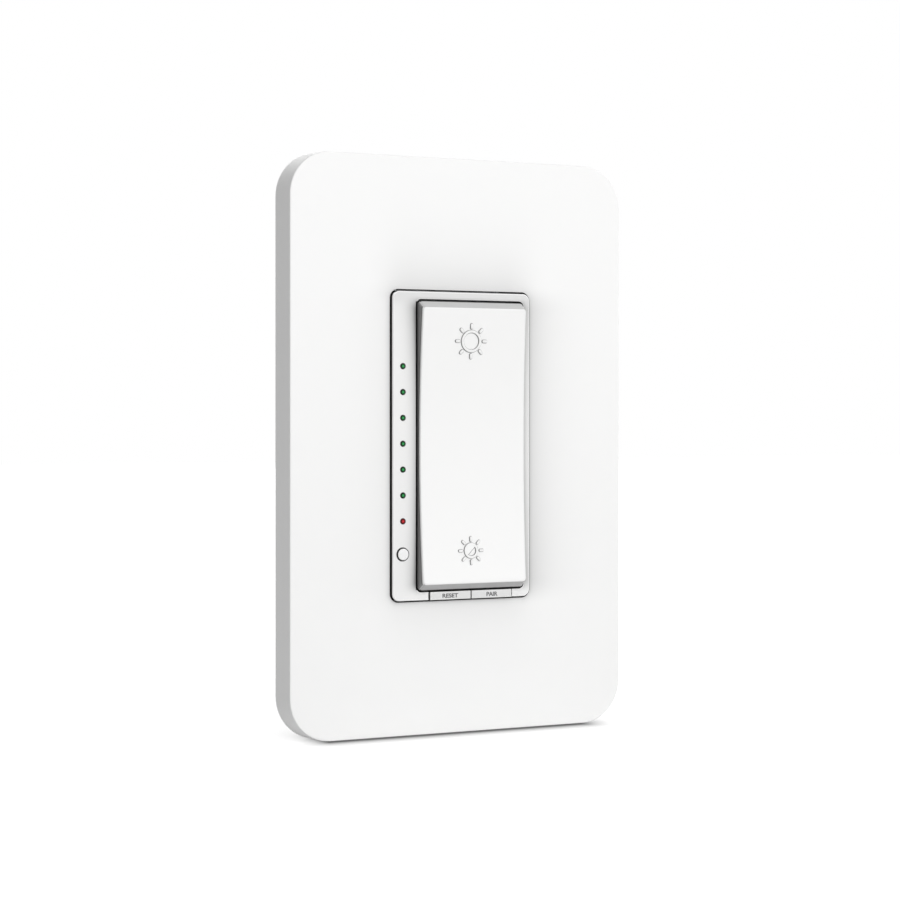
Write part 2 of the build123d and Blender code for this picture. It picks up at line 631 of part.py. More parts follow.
# Earthing screw on the folded tab, with a hexagon washer head
with BuildPart() as ground_screw:
    with BuildSketch(side(-STRAP_W / 2)):
        with Locations((GROUND_TAB_L / 2, GROUND_TAB_Z)):
            Circle(GROUND_HEAD_D / 2)
    extrude(amount=-GROUND_WASHER_T)
    with BuildSketch(side(-STRAP_W / 2)):
        with Locations((GROUND_TAB_L / 2, GROUND_TAB_Z)):
            RegularPolygon(GROUND_HEX_R, 6)
    extrude(amount=-GROUND_HEAD_T)
    with BuildSketch(side(-STRAP_W / 2)):
        with Locations((GROUND_TAB_L / 2, GROUND_TAB_Z)):
            Circle(GROUND_SCREW_D / 2)
    extrude(amount=STRAP_T)
    block(
        (-STRAP_W / 2 - GROUND_HEAD_T, -STRAP_W / 2 - (GROUND_HEAD_T + GROUND_WASHER_T) / 2),
        (-(GROUND_TAB_L + SCREW_SLOT_W) / 2, -(GROUND_TAB_L - SCREW_SLOT_W) / 2),
        (GROUND_TAB_Z - GROUND_HEX_R, GROUND_TAB_Z + GROUND_HEX_R),
        mode=Mode.SUBTRACT,
    )
finish(ground_screw, "ground_screw")


# Bezel: the device face with the rocker's well, the key slots, the light holes and the hooks
with BuildPart() as bezel:
    with BuildSketch(front(STRAP_T)):
        RectangleRounded(BEZEL_W, BEZEL_H, BEZEL_R)
    extrude(amount=BEZEL_H_FACE - STRAP_T)
    fillet(bezel.faces().sort_by(Axis.Y)[0].edges(), radius=BEZEL_EDGE_R)
    # Channel for the row of lights and the round button
    block(
        (-BEZEL_W / 2 + BEZEL_SIDE_WALL, WINDOW_LEFT - LIGHT_BAFFLE),
        (STRAP_T, BEZEL_UNDER),
        (-BEZEL_H / 2 + BEZEL_SIDE_WALL, BEZEL_H / 2 - BEZEL_SIDE_WALL),
        mode=Mode.SUBTRACT,
    )
    with BuildSketch(front(STRAP_T)):
        with Locations((WINDOW_X, 0)):
            RectangleRounded(WINDOW_W, WINDOW_H, WINDOW_R)
    extrude(amount=BEZEL_H_FACE - STRAP_T, mode=Mode.SUBTRACT)
    fillet(bezel.faces().sort_by(Axis.Y)[0].inner_wires()[0].edges(), radius=WINDOW_EDGE_R)
    with BuildSketch(front(STRAP_T)):
        with Locations(*[(LIGHT_X, z) for z in LIGHT_ZS]):
            Circle(LIGHT_D / 2 + LIGHT_GAP)
        with Locations((BUTTON_X, BUTTON_Z)):
            Circle(BUTTON_D / 2 + BUTTON_GAP)
    extrude(amount=BEZEL_H_FACE - STRAP_T, mode=Mode.SUBTRACT)
    with BuildSketch(front(STRAP_T)):
        with Locations((BUTTON_X, BUTTON_Z)):
            Circle(BUTTON_FLANGE_D / 2 + BUTTON_FLANGE_GAP)
    extrude(amount=BEZEL_UNDER - STRAP_T, mode=Mode.SUBTRACT)
    # Notch for the two keys, and the wide and narrow parts of their stem slots
    block(
        (KEY_LEFT - KEY_GAP / 2, KEY_RIGHT + KEY_GAP / 2),
        (KEY_NOTCH_H, BEZEL_H_FACE),
        (-BEZEL_H / 2, KEY_TOP_Z + KEY_NOTCH_LAP),
        mode=Mode.SUBTRACT,
    )
    for x in KEY_STEM_XS:
        narrow = KEY_STEM_W / 2 + KEY_GAP
        wide = narrow + KEY_LUG_REACH
        slot_z = (-BEZEL_H / 2, KEY_TOP_Z)
        block((x - narrow, x + narrow), (STRAP_T, BEZEL_H_FACE), slot_z, mode=Mode.SUBTRACT)
        block((x - wide, x + wide), (STRAP_T, KEY_SHOULDER_H), slot_z, mode=Mode.SUBTRACT)
    # Bridge under the rocker's rim that ties the wall between the key slots to the well's sides
    block(
        (WINDOW_LEFT - LIGHT_BAFFLE, BEZEL_W / 2),
        (STRAP_T, STRAP_T + BRIDGE_T),
        (KEY_TOP_Z, KEY_TOP_Z + BRIDGE_L),
    )
    # Bearing bores for the rocker's pins
    with BuildSketch(side(WINDOW_LEFT - LIGHT_BAFFLE)):
        with Locations((-PIN_H, 0)):
            Circle(PIN_D / 2 + PIN_CLEARANCE)
    extrude(amount=BEZEL_W, mode=Mode.SUBTRACT)
    # Hooks through the strap
    for x_sign in (1, -1):
        for z_sign in (1, -1):
            outer = BEZEL_W / 2
            hook_z = z_sign * ROCKER_SWITCH_Z
            block(
                (x_sign * outer, x_sign * (outer - BEZEL_SIDE_WALL)),
                (STRAP_T, -HOOK_DEPTH),
                (hook_z - SNAP_L / 2, hook_z + SNAP_L / 2),
            )
            block(
                (x_sign * (outer + HOOK_REACH), x_sign * (outer - BEZEL_SIDE_WALL)),
                (-SCREW_FIT, -HOOK_DEPTH),
                (hook_z - SNAP_L / 2, hook_z + SNAP_L / 2),
            )
finish(bezel, "bezel")


# Rocker: a hollow cap with a concave face, sloped ends, stiffening ribs, two plungers and two pins
with BuildPart() as rocker:
    with BuildSketch(front(ROCKER_RIM_H)):
        with Locations((WINDOW_X, 0)):
            RectangleRounded(ROCKER_W, ROCKER_H, ROCKER_R)
    extrude(amount=ROCKER_SHOULDER_H - ROCKER_RIM_H)
    # Above the shoulder it narrows to the face, most at the two ends
    reach = (ROCKER_END_H + ROCKER_SAG - ROCKER_SHOULDER_H) / (ROCKER_END_H - ROCKER_SHOULDER_H)
    with BuildSketch(front(ROCKER_SHOULDER_H)):
        with Locations((WINDOW_X, 0)):
            RectangleRounded(ROCKER_W, ROCKER_H, ROCKER_R)
    with BuildSketch(front(ROCKER_END_H + ROCKER_SAG)):
        with Locations((WINDOW_X, 0)):
            RectangleRounded(
                ROCKER_W - 2 * ROCKER_SIDE_INSET * reach,
                ROCKER_H - 2 * ROCKER_END_INSET * reach,
                ROCKER_FACE_R,
            )
    loft()
    # The concave face, cut by a wide cylinder across the cap
    with BuildSketch(side(WINDOW_X)):
        with Locations((-(ROCKER_MID_H + ROCKER_ARC_R), 0)):
            Circle(ROCKER_ARC_R)
    extrude(amount=ROCKER_W, both=True, mode=Mode.SUBTRACT)
    face_edges = rocker.faces().filter_by(GeomType.CYLINDER).sort_by(SortBy.AREA)[-1].edges()
    fillet(face_edges, radius=ROCKER_EDGE_R)
    # The hollow, with a ceiling parallel to the face
    with BuildSketch(side(WINDOW_X)):
        with BuildLine():
            inner_z = ROCKER_H / 2 - ROCKER_WALL
            inner_face_z = ROCKER_FACE_Z - ROCKER_WALL
            ceiling = ThreePointArc(
                (-(ROCKER_END_H - ROCKER_WALL), -inner_face_z),
                (-(ROCKER_MID_H - ROCKER_WALL), 0),
                (-(ROCKER_END_H - ROCKER_WALL), inner_face_z),
            )
            Polyline(
                ceiling @ 1,
                (-(BEZEL_H_FACE - ROCKER_SHOULDER), inner_z),
                (-ROCKER_RIM_H, inner_z),
                (-ROCKER_RIM_H, -inner_z),
                (-(BEZEL_H_FACE - ROCKER_SHOULDER), -inner_z),
                ceiling @ 0,
            )
        make_face()
    extrude(amount=ROCKER_W / 2 - ROCKER_WALL, both=True, mode=Mode.SUBTRACT)
    # Ribs along the cap and cross ribs over the spring's two feet
    for x_sign in (1, -1):
        rib_x = WINDOW_X + x_sign * RIB_X
        block(
            (rib_x - RIB_T / 2, rib_x + RIB_T / 2),
            (RIB_H, ROCKER_MID_H - ROCKER_WALL / 2),
            (-inner_face_z, inner_face_z),
        )
    for z_sign in (1, -1):
        block(
            (WINDOW_X - RIB_X, WINDOW_X + RIB_X),
            (CROSS_RIB_H, ROCKER_MID_H - ROCKER_WALL / 2),
            (z_sign * SPRING_REACH - RIB_T / 2, z_sign * SPRING_REACH + RIB_T / 2),
        )
        with BuildSketch(front(PLUNGER_END_H)):
            with Locations((WINDOW_X, z_sign * ROCKER_SWITCH_Z)):
                Circle(PLUNGER_D / 2)
        extrude(amount=ROCKER_MID_H - ROCKER_WALL / 2 - PLUNGER_END_H)
    # Pivot pins on the hinge line
    for x, direction in ((ROCKER_LEFT, -1), (ROCKER_RIGHT, 1)):
        with BuildSketch(side(x)):
            with Locations((-PIN_H, 0)):
                Circle(PIN_D / 2)
        extrude(amount=direction * PIN_L)
    for end_face in (rocker.faces().sort_by(Axis.X)[0], rocker.faces().sort_by(Axis.X)[-1]):
        chamfer(end_face.edges(), length=PIN_CHAMFER)
finish(rocker, "rocker")


# Keys: a flat cap, a stem to its switch and two lugs that stop under the bezel's shoulder
KEYS = {"reset_key": (KEY_LEFT, KEY_MIDDLE), "pair_key": (KEY_MIDDLE, KEY_RIGHT)}
for key_name, (x_low, x_high) in KEYS.items():
    stem_x = (x_low + x_high) / 2
    stem_half = KEY_STEM_W / 2
    stem_z = (KEY_BOTTOM_Z + KEY_STEM_SETBACK, KEY_TOP_Z - KEY_STEM_SETBACK)
    lug_half = stem_half + KEY_LUG_REACH
    lug_top = KEY_SHOULDER_H - KEY_SEAT_GAP
    cap_x = (x_low + KEY_GAP / 2, x_high - KEY_GAP / 2)
    with BuildPart() as key:
        block(cap_x, (KEY_FACE_H - KEY_CAP_T, KEY_FACE_H), (KEY_BOTTOM_Z, KEY_TOP_Z))
        fillet(key.faces().sort_by(Axis.Y)[0].edges(), radius=KEY_EDGE_R)
        block((stem_x - stem_half, stem_x + stem_half), (KEY_STEM_END_H, KEY_FACE_H - KEY_CAP_T), stem_z)
        block((stem_x - lug_half, stem_x + lug_half), (lug_top - KEY_LUG_T, lug_top), stem_z)
    finish(key, key_name)


# Round button: cap, flange under the bezel and stem to its switch, turned about one axis
with BuildPart() as program_button:
    with BuildSketch(front(BEZEL_UNDER - KEY_SEAT_GAP)):
        with Locations((BUTTON_X, BUTTON_Z)):
            Circle(BUTTON_D / 2)
    extrude(amount=BEZEL_FRONT_WALL + KEY_SEAT_GAP + BUTTON_PROUD)
    fillet(program_button.faces().sort_by(Axis.Y)[0].edges(), radius=BUTTON_EDGE_R)
    with BuildSketch(front(BEZEL_UNDER - KEY_SEAT_GAP)):
        with Locations((BUTTON_X, BUTTON_Z)):
            Circle(BUTTON_FLANGE_D / 2)
    extrude(amount=-BUTTON_FLANGE_T)
    with BuildSketch(front(KEY_STEM_END_H)):
        with Locations((BUTTON_X, BUTTON_Z)):
            Circle(BUTTON_STEM_D / 2)
    extrude(amount=BEZEL_UNDER - KEY_STEM_END_H - KEY_SEAT_GAP)
finish(program_button, "program_button")


# Light guide: a clear bar behind the bezel, with a pin to the front and a leg to each light
with BuildPart() as light_guide:
    block(
        (LIGHT_X - LIGHT_BAR_W / 2, LIGHT_X + LIGHT_BAR_W / 2),
        (BEZEL_UNDER - LIGHT_BAR_T, BEZEL_UNDER),
        (LIGHT_ZS[-1] - LIGHT_BAR_MARGIN, LIGHT_ZS[0] + LIGHT_BAR_MARGIN),
    )
    with BuildSketch(front(BEZEL_UNDER)):
        with Locations(*[(LIGHT_X, z) for z in LIGHT_ZS]):
            Circle(LIGHT_D / 2)
    extrude(amount=BEZEL_FRONT_WALL + LIGHT_PROUD)
    chamfer(light_guide.faces().group_by(Axis.Y)[0].edges(), length=LIGHT_PROUD)
    leg_end = CONTROL_H + LED_T + LIGHT_LED_GAP
    with BuildSketch(front(leg_end)):
        with Locations(*[(LIGHT_X, z) for z in LIGHT_ZS]):
            Circle(LIGHT_LEG_D / 2)
    extrude(amount=BEZEL_UNDER - LIGHT_BAR_T - leg_end)
finish(light_guide, "light_guide")


# Light chips on the control board: six green ones and a red one at the foot of the row
CHIPS = {"green_leds": LIGHT_ZS[:-1], "red_led": LIGHT_ZS[-1:]}
for chip_name, chip_zs in CHIPS.items():
    with BuildPart() as chips:
        for z in chip_zs:
            block(
                (LIGHT_X - LED_W / 2, LIGHT_X + LED_W / 2),
                (CONTROL_H, CONTROL_H + LED_T),
                (z - LED_L / 2, z + LED_L / 2),
            )
    finish(chips, chip_name)


# Switch deck: the insulating plate in the strap's opening, with the spring's block on it
with BuildPart() as switch_deck:
    deck_x = (DECK_LEFT + DECK_RIGHT) / 2
    deck_z = (DECK_TOP_Z + DECK_BOTTOM_Z) / 2
    with BuildSketch(front(CONTROL_H)):
        with Locations((deck_x, deck_z)):
            RectangleRounded(DECK_RIGHT - DECK_LEFT, DECK_TOP_Z - DECK_BOTTOM_Z, DECK_R)
        cut = ROCKER_SWITCH_W + 2 * DECK_SWITCH_GAP
        with Locations((WINDOW_X, ROCKER_SWITCH_Z), (WINDOW_X, -ROCKER_SWITCH_Z)):
            Rectangle(cut, cut, mode=Mode.SUBTRACT)
        with Locations((BUTTON_SWITCH_X, BUTTON_Z)):
            Rectangle(
                BUTTON_SWITCH_W + 2 * BOARD_NOTCH_GAP,
                SMALL_SWITCH_W + 2 * BOARD_NOTCH_GAP,
                mode=Mode.SUBTRACT,
            )
    extrude(amount=STRAP_T - CONTROL_H)
    block(
        (WINDOW_X - SPRING_BLOCK_W / 2, WINDOW_X + SPRING_BLOCK_W / 2),
        (STRAP_T, SPRING_SEAT_H),
        (-SPRING_BLOCK_L / 2, SPRING_BLOCK_L / 2),
    )
    with BuildSketch(front(SPRING_SEAT_H)):
        with Locations((WINDOW_X, 0)):
            Circle(SPRING_SCREW_D / 2 + SCREW_FIT)
    extrude(amount=-(SPRING_SEAT_H - CONTROL_H), mode=Mode.SUBTRACT)
finish(switch_deck, "switch_deck")


# Return spring: one bent strip of spring steel whose two arms reach up under the rocker
with BuildPart() as return_spring:
    with BuildSketch(side(WINDOW_X)):
        with BuildLine():
            flat = SPRING_BLOCK_L / 2
            tip = SPRING_REACH + SPRING_FOOT_L
            low = -SPRING_SEAT_H
            high = -(SPRING_SEAT_H + SPRING_RISE)
            Polyline(
                (high, -tip),
                (high, -SPRING_REACH + SPRING_FOOT_L),
                (low, -flat),
                (low, flat),
                (high, SPRING_REACH - SPRING_FOOT_L),
                (high, tip),
                (high - SPRING_T, tip),
                (high - SPRING_T, SPRING_REACH - SPRING_FOOT_L),
                (low - SPRING_T, flat),
                (low - SPRING_T, -flat),
                (high - SPRING_T, -SPRING_REACH + SPRING_FOOT_L),
                (high - SPRING_T, -tip),
                close=True,
            )
        make_face()
    extrude(amount=SPRING_W / 2, both=True)
    with BuildSketch(front(SPRING_SEAT_H)):
        with Locations((WINDOW_X, 0)):
            Circle(SPRING_SCREW_D / 2 + SCREW_FIT)
    extrude(amount=SPRING_T, mode=Mode.SUBTRACT)
finish(return_spring, "return_spring")


with BuildPart() as spring_screw:
    with BuildSketch(front(SPRING_SEAT_H + SPRING_T)):
        with Locations((WINDOW_X, 0)):
            Circle(SPRING_SCREW_HEAD_D / 2)
    extrude(amount=SPRING_SCREW_HEAD_T)
    fillet(spring_screw.faces().sort_by(Axis.Y)[0].edges(), radius=SPRING_SCREW_HEAD_T * HEAD_ROUND_SHARE)
    with BuildSketch(front(SPRING_SEAT_H + SPRING_T)):
        with Locations((WINDOW_X, 0)):
            Circle(SPRING_SCREW_D / 2)
    extrude(amount=-(SPRING_SCREW_L - SPRING_T))
finish(spring_screw, "spring_screw")


# Control board, with notches round the housing's lower posts
with BuildPart() as control_board:
    with BuildSketch(front(CONTROL_BACK)):
        with Locations((0, (CONTROL_TOP_Z + CONTROL_BOTTOM_Z) / 2)):
            Rectangle(CONTROL_W, CONTROL_TOP_Z - CONTROL_BOTTOM_Z)
        notch = POST_D + 2 * BOARD_NOTCH_GAP
        with Locations((POST_X, -POST_Z), (-POST_X, -POST_Z)):
            Rectangle(notch, notch, mode=Mode.SUBTRACT)
    extrude(amount=BOARD_T)
finish(control_board, "control_board")


def push_switch(x, z, width, length, body, cap_d, cap):
    """A sealed push switch standing on the control board."""
    block((x - width / 2, x + width / 2), (CONTROL_H, CONTROL_H + body), (z - length / 2, z + length / 2))
    with Locations((x, -(CONTROL_H + body + cap / 2), z)):
        Cylinder(cap_d / 2, cap, rotation=(90, 0, 0))


ROCKER_SWITCH_STEPS = (ROCKER_SWITCH_BODY, ROCKER_SWITCH_CAP_D, ROCKER_SWITCH_CAP)
SMALL_SWITCH_STEPS = (SMALL_SWITCH_BODY, SMALL_SWITCH_CAP_D, SMALL_SWITCH_CAP)
SWITCHES = {
    "up_switch": (WINDOW_X, ROCKER_SWITCH_Z, ROCKER_SWITCH_W, ROCKER_SWITCH_W, *ROCKER_SWITCH_STEPS),
    "down_switch": (WINDOW_X, -ROCKER_SWITCH_Z, ROCKER_SWITCH_W, ROCKER_SWITCH_W, *ROCKER_SWITCH_STEPS),
    "reset_switch": (KEY_STEM_XS[0], KEY_SWITCH_Z, SMALL_SWITCH_W, SMALL_SWITCH_W, *SMALL_SWITCH_STEPS),
    "pair_switch": (KEY_STEM_XS[1], KEY_SWITCH_Z, SMALL_SWITCH_W, SMALL_SWITCH_W, *SMALL_SWITCH_STEPS),
    "program_switch": (BUTTON_SWITCH_X, BUTTON_Z, BUTTON_SWITCH_W, SMALL_SWITCH_W, *SMALL_SWITCH_STEPS),
}
for switch_name, switch_sizes in SWITCHES.items():
    with BuildPart() as switch:
        push_switch(*switch_sizes)
    finish(switch, switch_name)


# Radio module under the control board: a small board with a shield can beside its antenna
with BuildPart() as radio_module:
    low = RADIO_Z - RADIO_L / 2
    high = RADIO_Z + RADIO_L / 2
    block((-RADIO_W / 2, RADIO_W / 2), (CONTROL_BACK, CONTROL_BACK - RADIO_T), (low, high))
    block(
        (-RADIO_W / 2 + RADIO_CAN_INSET, RADIO_W / 2 - RADIO_ANTENNA_L),
        (CONTROL_BACK - RADIO_T, CONTROL_BACK - RADIO_T - RADIO_CAN_T),
        (low + RADIO_CAN_INSET, high - RADIO_CAN_INSET),
    )
finish(radio_module, "radio_module")


# Main board on the housing's floor
with BuildPart() as main_board:
    with BuildSketch(front(MAIN_BACK)):
        Rectangle(MAIN_W, MAIN_H)
    extrude(amount=BOARD_T)
finish(main_board, "main_board")


# Riser board between the two boards, and its pin headers
with BuildPart() as riser_board:
    block(
        (-RISER_W / 2, RISER_W / 2),
        (MAIN_FRONT + PAD_T, CONTROL_BACK - PAD_T),
        (RISER_Z - BOARD_T / 2, RISER_Z + BOARD_T / 2),
    )
finish(riser_board, "riser_board")


with BuildPart() as riser_headers:
    header_z = (RISER_Z - BOARD_T / 2 - HEADER_T, RISER_Z - BOARD_T / 2)
    block((-HEADER_W / 2, HEADER_W / 2), (MAIN_FRONT, MAIN_FRONT + HEADER_BODY), header_z)
    block((-HEADER_W / 2, HEADER_W / 2), (CONTROL_BACK - HEADER_BODY, CONTROL_BACK), header_z)
finish(riser_headers, "riser_headers")


# Heat sink: an angle of thick aluminium between the strap and the power transistors
HOUSING_TOP_Z = HOUSING_H / 2 - HOUSING_WALL
SINK_FACE_Z = HOUSING_TOP_Z - HEAT_SINK_T
with BuildPart() as heat_sink:
    with BuildSketch(side(0)):
        with BuildLine():
            Polyline(
                (0, HOUSING_TOP_Z),
                (HEAT_SINK_L, HOUSING_TOP_Z),
                (HEAT_SINK_L, SINK_FACE_Z),
                (HEAT_SINK_T, SINK_FACE_Z),
                (HEAT_SINK_T, HOUSING_TOP_Z - HEAT_SINK_FOOT),
                (0, HOUSING_TOP_Z - HEAT_SINK_FOOT),
                close=True,
            )
        make_face()
    extrude(amount=HEAT_SINK_W / 2, both=True)
    tab_hole_h = TRANSISTOR_H + TRANSISTOR_L + TRANSISTOR_TAB_L / 2
    with BuildSketch(Plane.XY.offset(SINK_FACE_Z)):
        with Locations((TRANSISTOR_X, -tab_hole_h), (-TRANSISTOR_X, -tab_hole_h)):
            Circle(TAB_SCREW_D / 2 + SCREW_FIT)
    extrude(amount=HEAT_SINK_T, mode=Mode.SUBTRACT)
finish(heat_sink, "heat_sink")


# Power transistors upright on the main board, backed by insulating pads on the heat sink
PAD_FACE_Z = SINK_FACE_Z - PAD_T
with BuildPart() as power_transistors:
    for x_sign in (1, -1):
        x = x_sign * TRANSISTOR_X
        half = TRANSISTOR_W / 2
        body_top = TRANSISTOR_H + TRANSISTOR_L
        block((x - half, x + half), (TRANSISTOR_H, body_top), (PAD_FACE_Z - TRANSISTOR_T, PAD_FACE_Z))
        tab_z = (PAD_FACE_Z - TRANSISTOR_TAB_T, PAD_FACE_Z)
        block((x - half, x + half), (body_top, body_top + TRANSISTOR_TAB_L), tab_z)
        leg_z = PAD_FACE_Z - TRANSISTOR_T / 2
        for pin in (-1, 0, 1):
            leg_x = x + pin * TRANSISTOR_PITCH
            block(
                (leg_x - TRANSISTOR_LEG / 2, leg_x + TRANSISTOR_LEG / 2),
                (MAIN_FRONT, TRANSISTOR_H),
                (leg_z - TRANSISTOR_LEG_T / 2, leg_z + TRANSISTOR_LEG_T / 2),
            )
    with BuildSketch(Plane.XY.offset(PAD_FACE_Z - TRANSISTOR_TAB_T)):
        with Locations((TRANSISTOR_X, -tab_hole_h), (-TRANSISTOR_X, -tab_hole_h)):
            Circle(TRANSISTOR_HOLE_D / 2)
    extrude(amount=TRANSISTOR_TAB_T, mode=Mode.SUBTRACT)
finish(power_transistors, "power_transistors")


with BuildPart() as insulating_pads:
    for x_sign in (1, -1):
        x = x_sign * TRANSISTOR_X
        half = TRANSISTOR_W / 2
        block(
            (x - half, x + half),
            (TRANSISTOR_H, TRANSISTOR_H + TRANSISTOR_L + TRANSISTOR_TAB_L),
            (PAD_FACE_Z, SINK_FACE_Z),
        )
    with BuildSketch(Plane.XY.offset(PAD_FACE_Z)):
        with Locations((TRANSISTOR_X, -tab_hole_h), (-TRANSISTOR_X, -tab_hole_h)):
            Circle(TRANSISTOR_HOLE_D / 2)
    extrude(amount=PAD_T, mode=Mode.SUBTRACT)
finish(insulating_pads, "insulating_pads")


with BuildPart() as transistor_screws:
    for x_sign in (1, -1):
        with BuildSketch(Plane.XY.offset(PAD_FACE_Z - TRANSISTOR_TAB_T)):
            with Locations((x_sign * TRANSISTOR_X, -tab_hole_h)):
                Circle(TAB_SCREW_HEAD_D / 2)
        extrude(amount=-TAB_SCREW_HEAD_T)
        with BuildSketch(Plane.XY.offset(PAD_FACE_Z - TRANSISTOR_TAB_T)):
            with Locations((x_sign * TRANSISTOR_X, -tab_hole_h)):
                Circle(TAB_SCREW_D / 2)
        extrude(amount=TRANSISTOR_TAB_T + PAD_T + HEAT_SINK_T)
finish(transistor_screws, "transistor_screws")


# Supply transformer: a double-window core round a wound bobbin
with BuildPart() as supply_transformer:
    core_z = (CORE_Z - CORE_L / 2, CORE_Z + CORE_L / 2)
    block((CORE_X - CORE_W / 2, CORE_X + CORE_W / 2), (MAIN_FRONT, MAIN_FRONT + CORE_LEG), core_z)
    core_top = MAIN_FRONT + CORE_T
    block((CORE_X - CORE_W / 2, CORE_X + CORE_W / 2), (core_top - CORE_LEG, core_top), core_z)
    for x_sign in (1, -1):
        outer = CORE_X + x_sign * CORE_W / 2
        leg_z = (CORE_Z - CORE_LEG, CORE_Z + CORE_LEG)
        block((outer, outer - x_sign * CORE_LEG / 2), (MAIN_FRONT, core_top), leg_z)
    with BuildSketch(front(MAIN_FRONT)):
        with Locations((CORE_X, CORE_Z)):
            Circle(WINDING_D / 2)
    extrude(amount=CORE_T)
finish(supply_transformer, "supply_transformer")


# Line choke: a wound ring core lying on the board
with BuildPart() as line_choke:
    ring_r = (CHOKE_OD + CHOKE_BORE_D) / 4
    wire_r = (CHOKE_OD - CHOKE_BORE_D) / 4
    with BuildSketch(Plane.XY.offset(CHOKE_Z)):
        with Locations((CHOKE_X + ring_r, -(MAIN_FRONT + wire_r))):
            Circle(wire_r)
    revolve(axis=Axis((CHOKE_X, 0, CHOKE_Z), (0, 1, 0)))
finish(line_choke, "line_choke")


with BuildPart() as bulk_capacitor:
    with BuildSketch(front(MAIN_FRONT)):
        with Locations((CAP_X, CAP_Z)):
            Circle(CAP_D / 2)
    extrude(amount=CAP_L)
    fillet(bulk_capacitor.faces().sort_by(Axis.Y)[0].edges(), radius=CAP_EDGE_R)
finish(bulk_capacitor, "bulk_capacitor")


with BuildPart() as film_capacitor:
    with BuildSketch(front(MAIN_FRONT)):
        with Locations((FILM_X, FILM_Z)):
            Rectangle(FILM_W, FILM_T)
    extrude(amount=FILM_L)
    fillet(film_capacitor.edges().filter_by(Axis.Y), radius=CAP_EDGE_R)
finish(film_capacitor, "film_capacitor")


# Varistor: a coated disc on two legs
with BuildPart() as varistor:
    disc_h = MAIN_FRONT + VARISTOR_LEG + VARISTOR_D / 2
    with BuildSketch(Plane.XY.offset(VARISTOR_Z - VARISTOR_T / 2)):
        with Locations((VARISTOR_X, -disc_h)):
            Circle(VARISTOR_D / 2)
    extrude(amount=VARISTOR_T)
    fillet(varistor.edges(), radius=VARISTOR_EDGE_R)
    for x_sign in (1, -1):
        leg_x = VARISTOR_X + x_sign * VARISTOR_D / 4
        block(
            (leg_x - TRANSISTOR_LEG / 2, leg_x + TRANSISTOR_LEG / 2),
            (MAIN_FRONT, disc_h),
            (VARISTOR_Z - TRANSISTOR_LEG / 2, VARISTOR_Z + TRANSISTOR_LEG / 2),
        )
finish(varistor, "varistor")


# Fuse: a capped tube lying on the board
with BuildPart() as fuse:
    with BuildSketch(Plane.XY.offset(FUSE_Z - FUSE_L / 2)):
        with Locations((FUSE_X, -(MAIN_FRONT + FUSE_D / 2))):
            Circle(FUSE_D / 2)
    extrude(amount=FUSE_L)
    fillet(fuse.edges(), radius=FUSE_EDGE_R)
finish(fuse, "fuse")


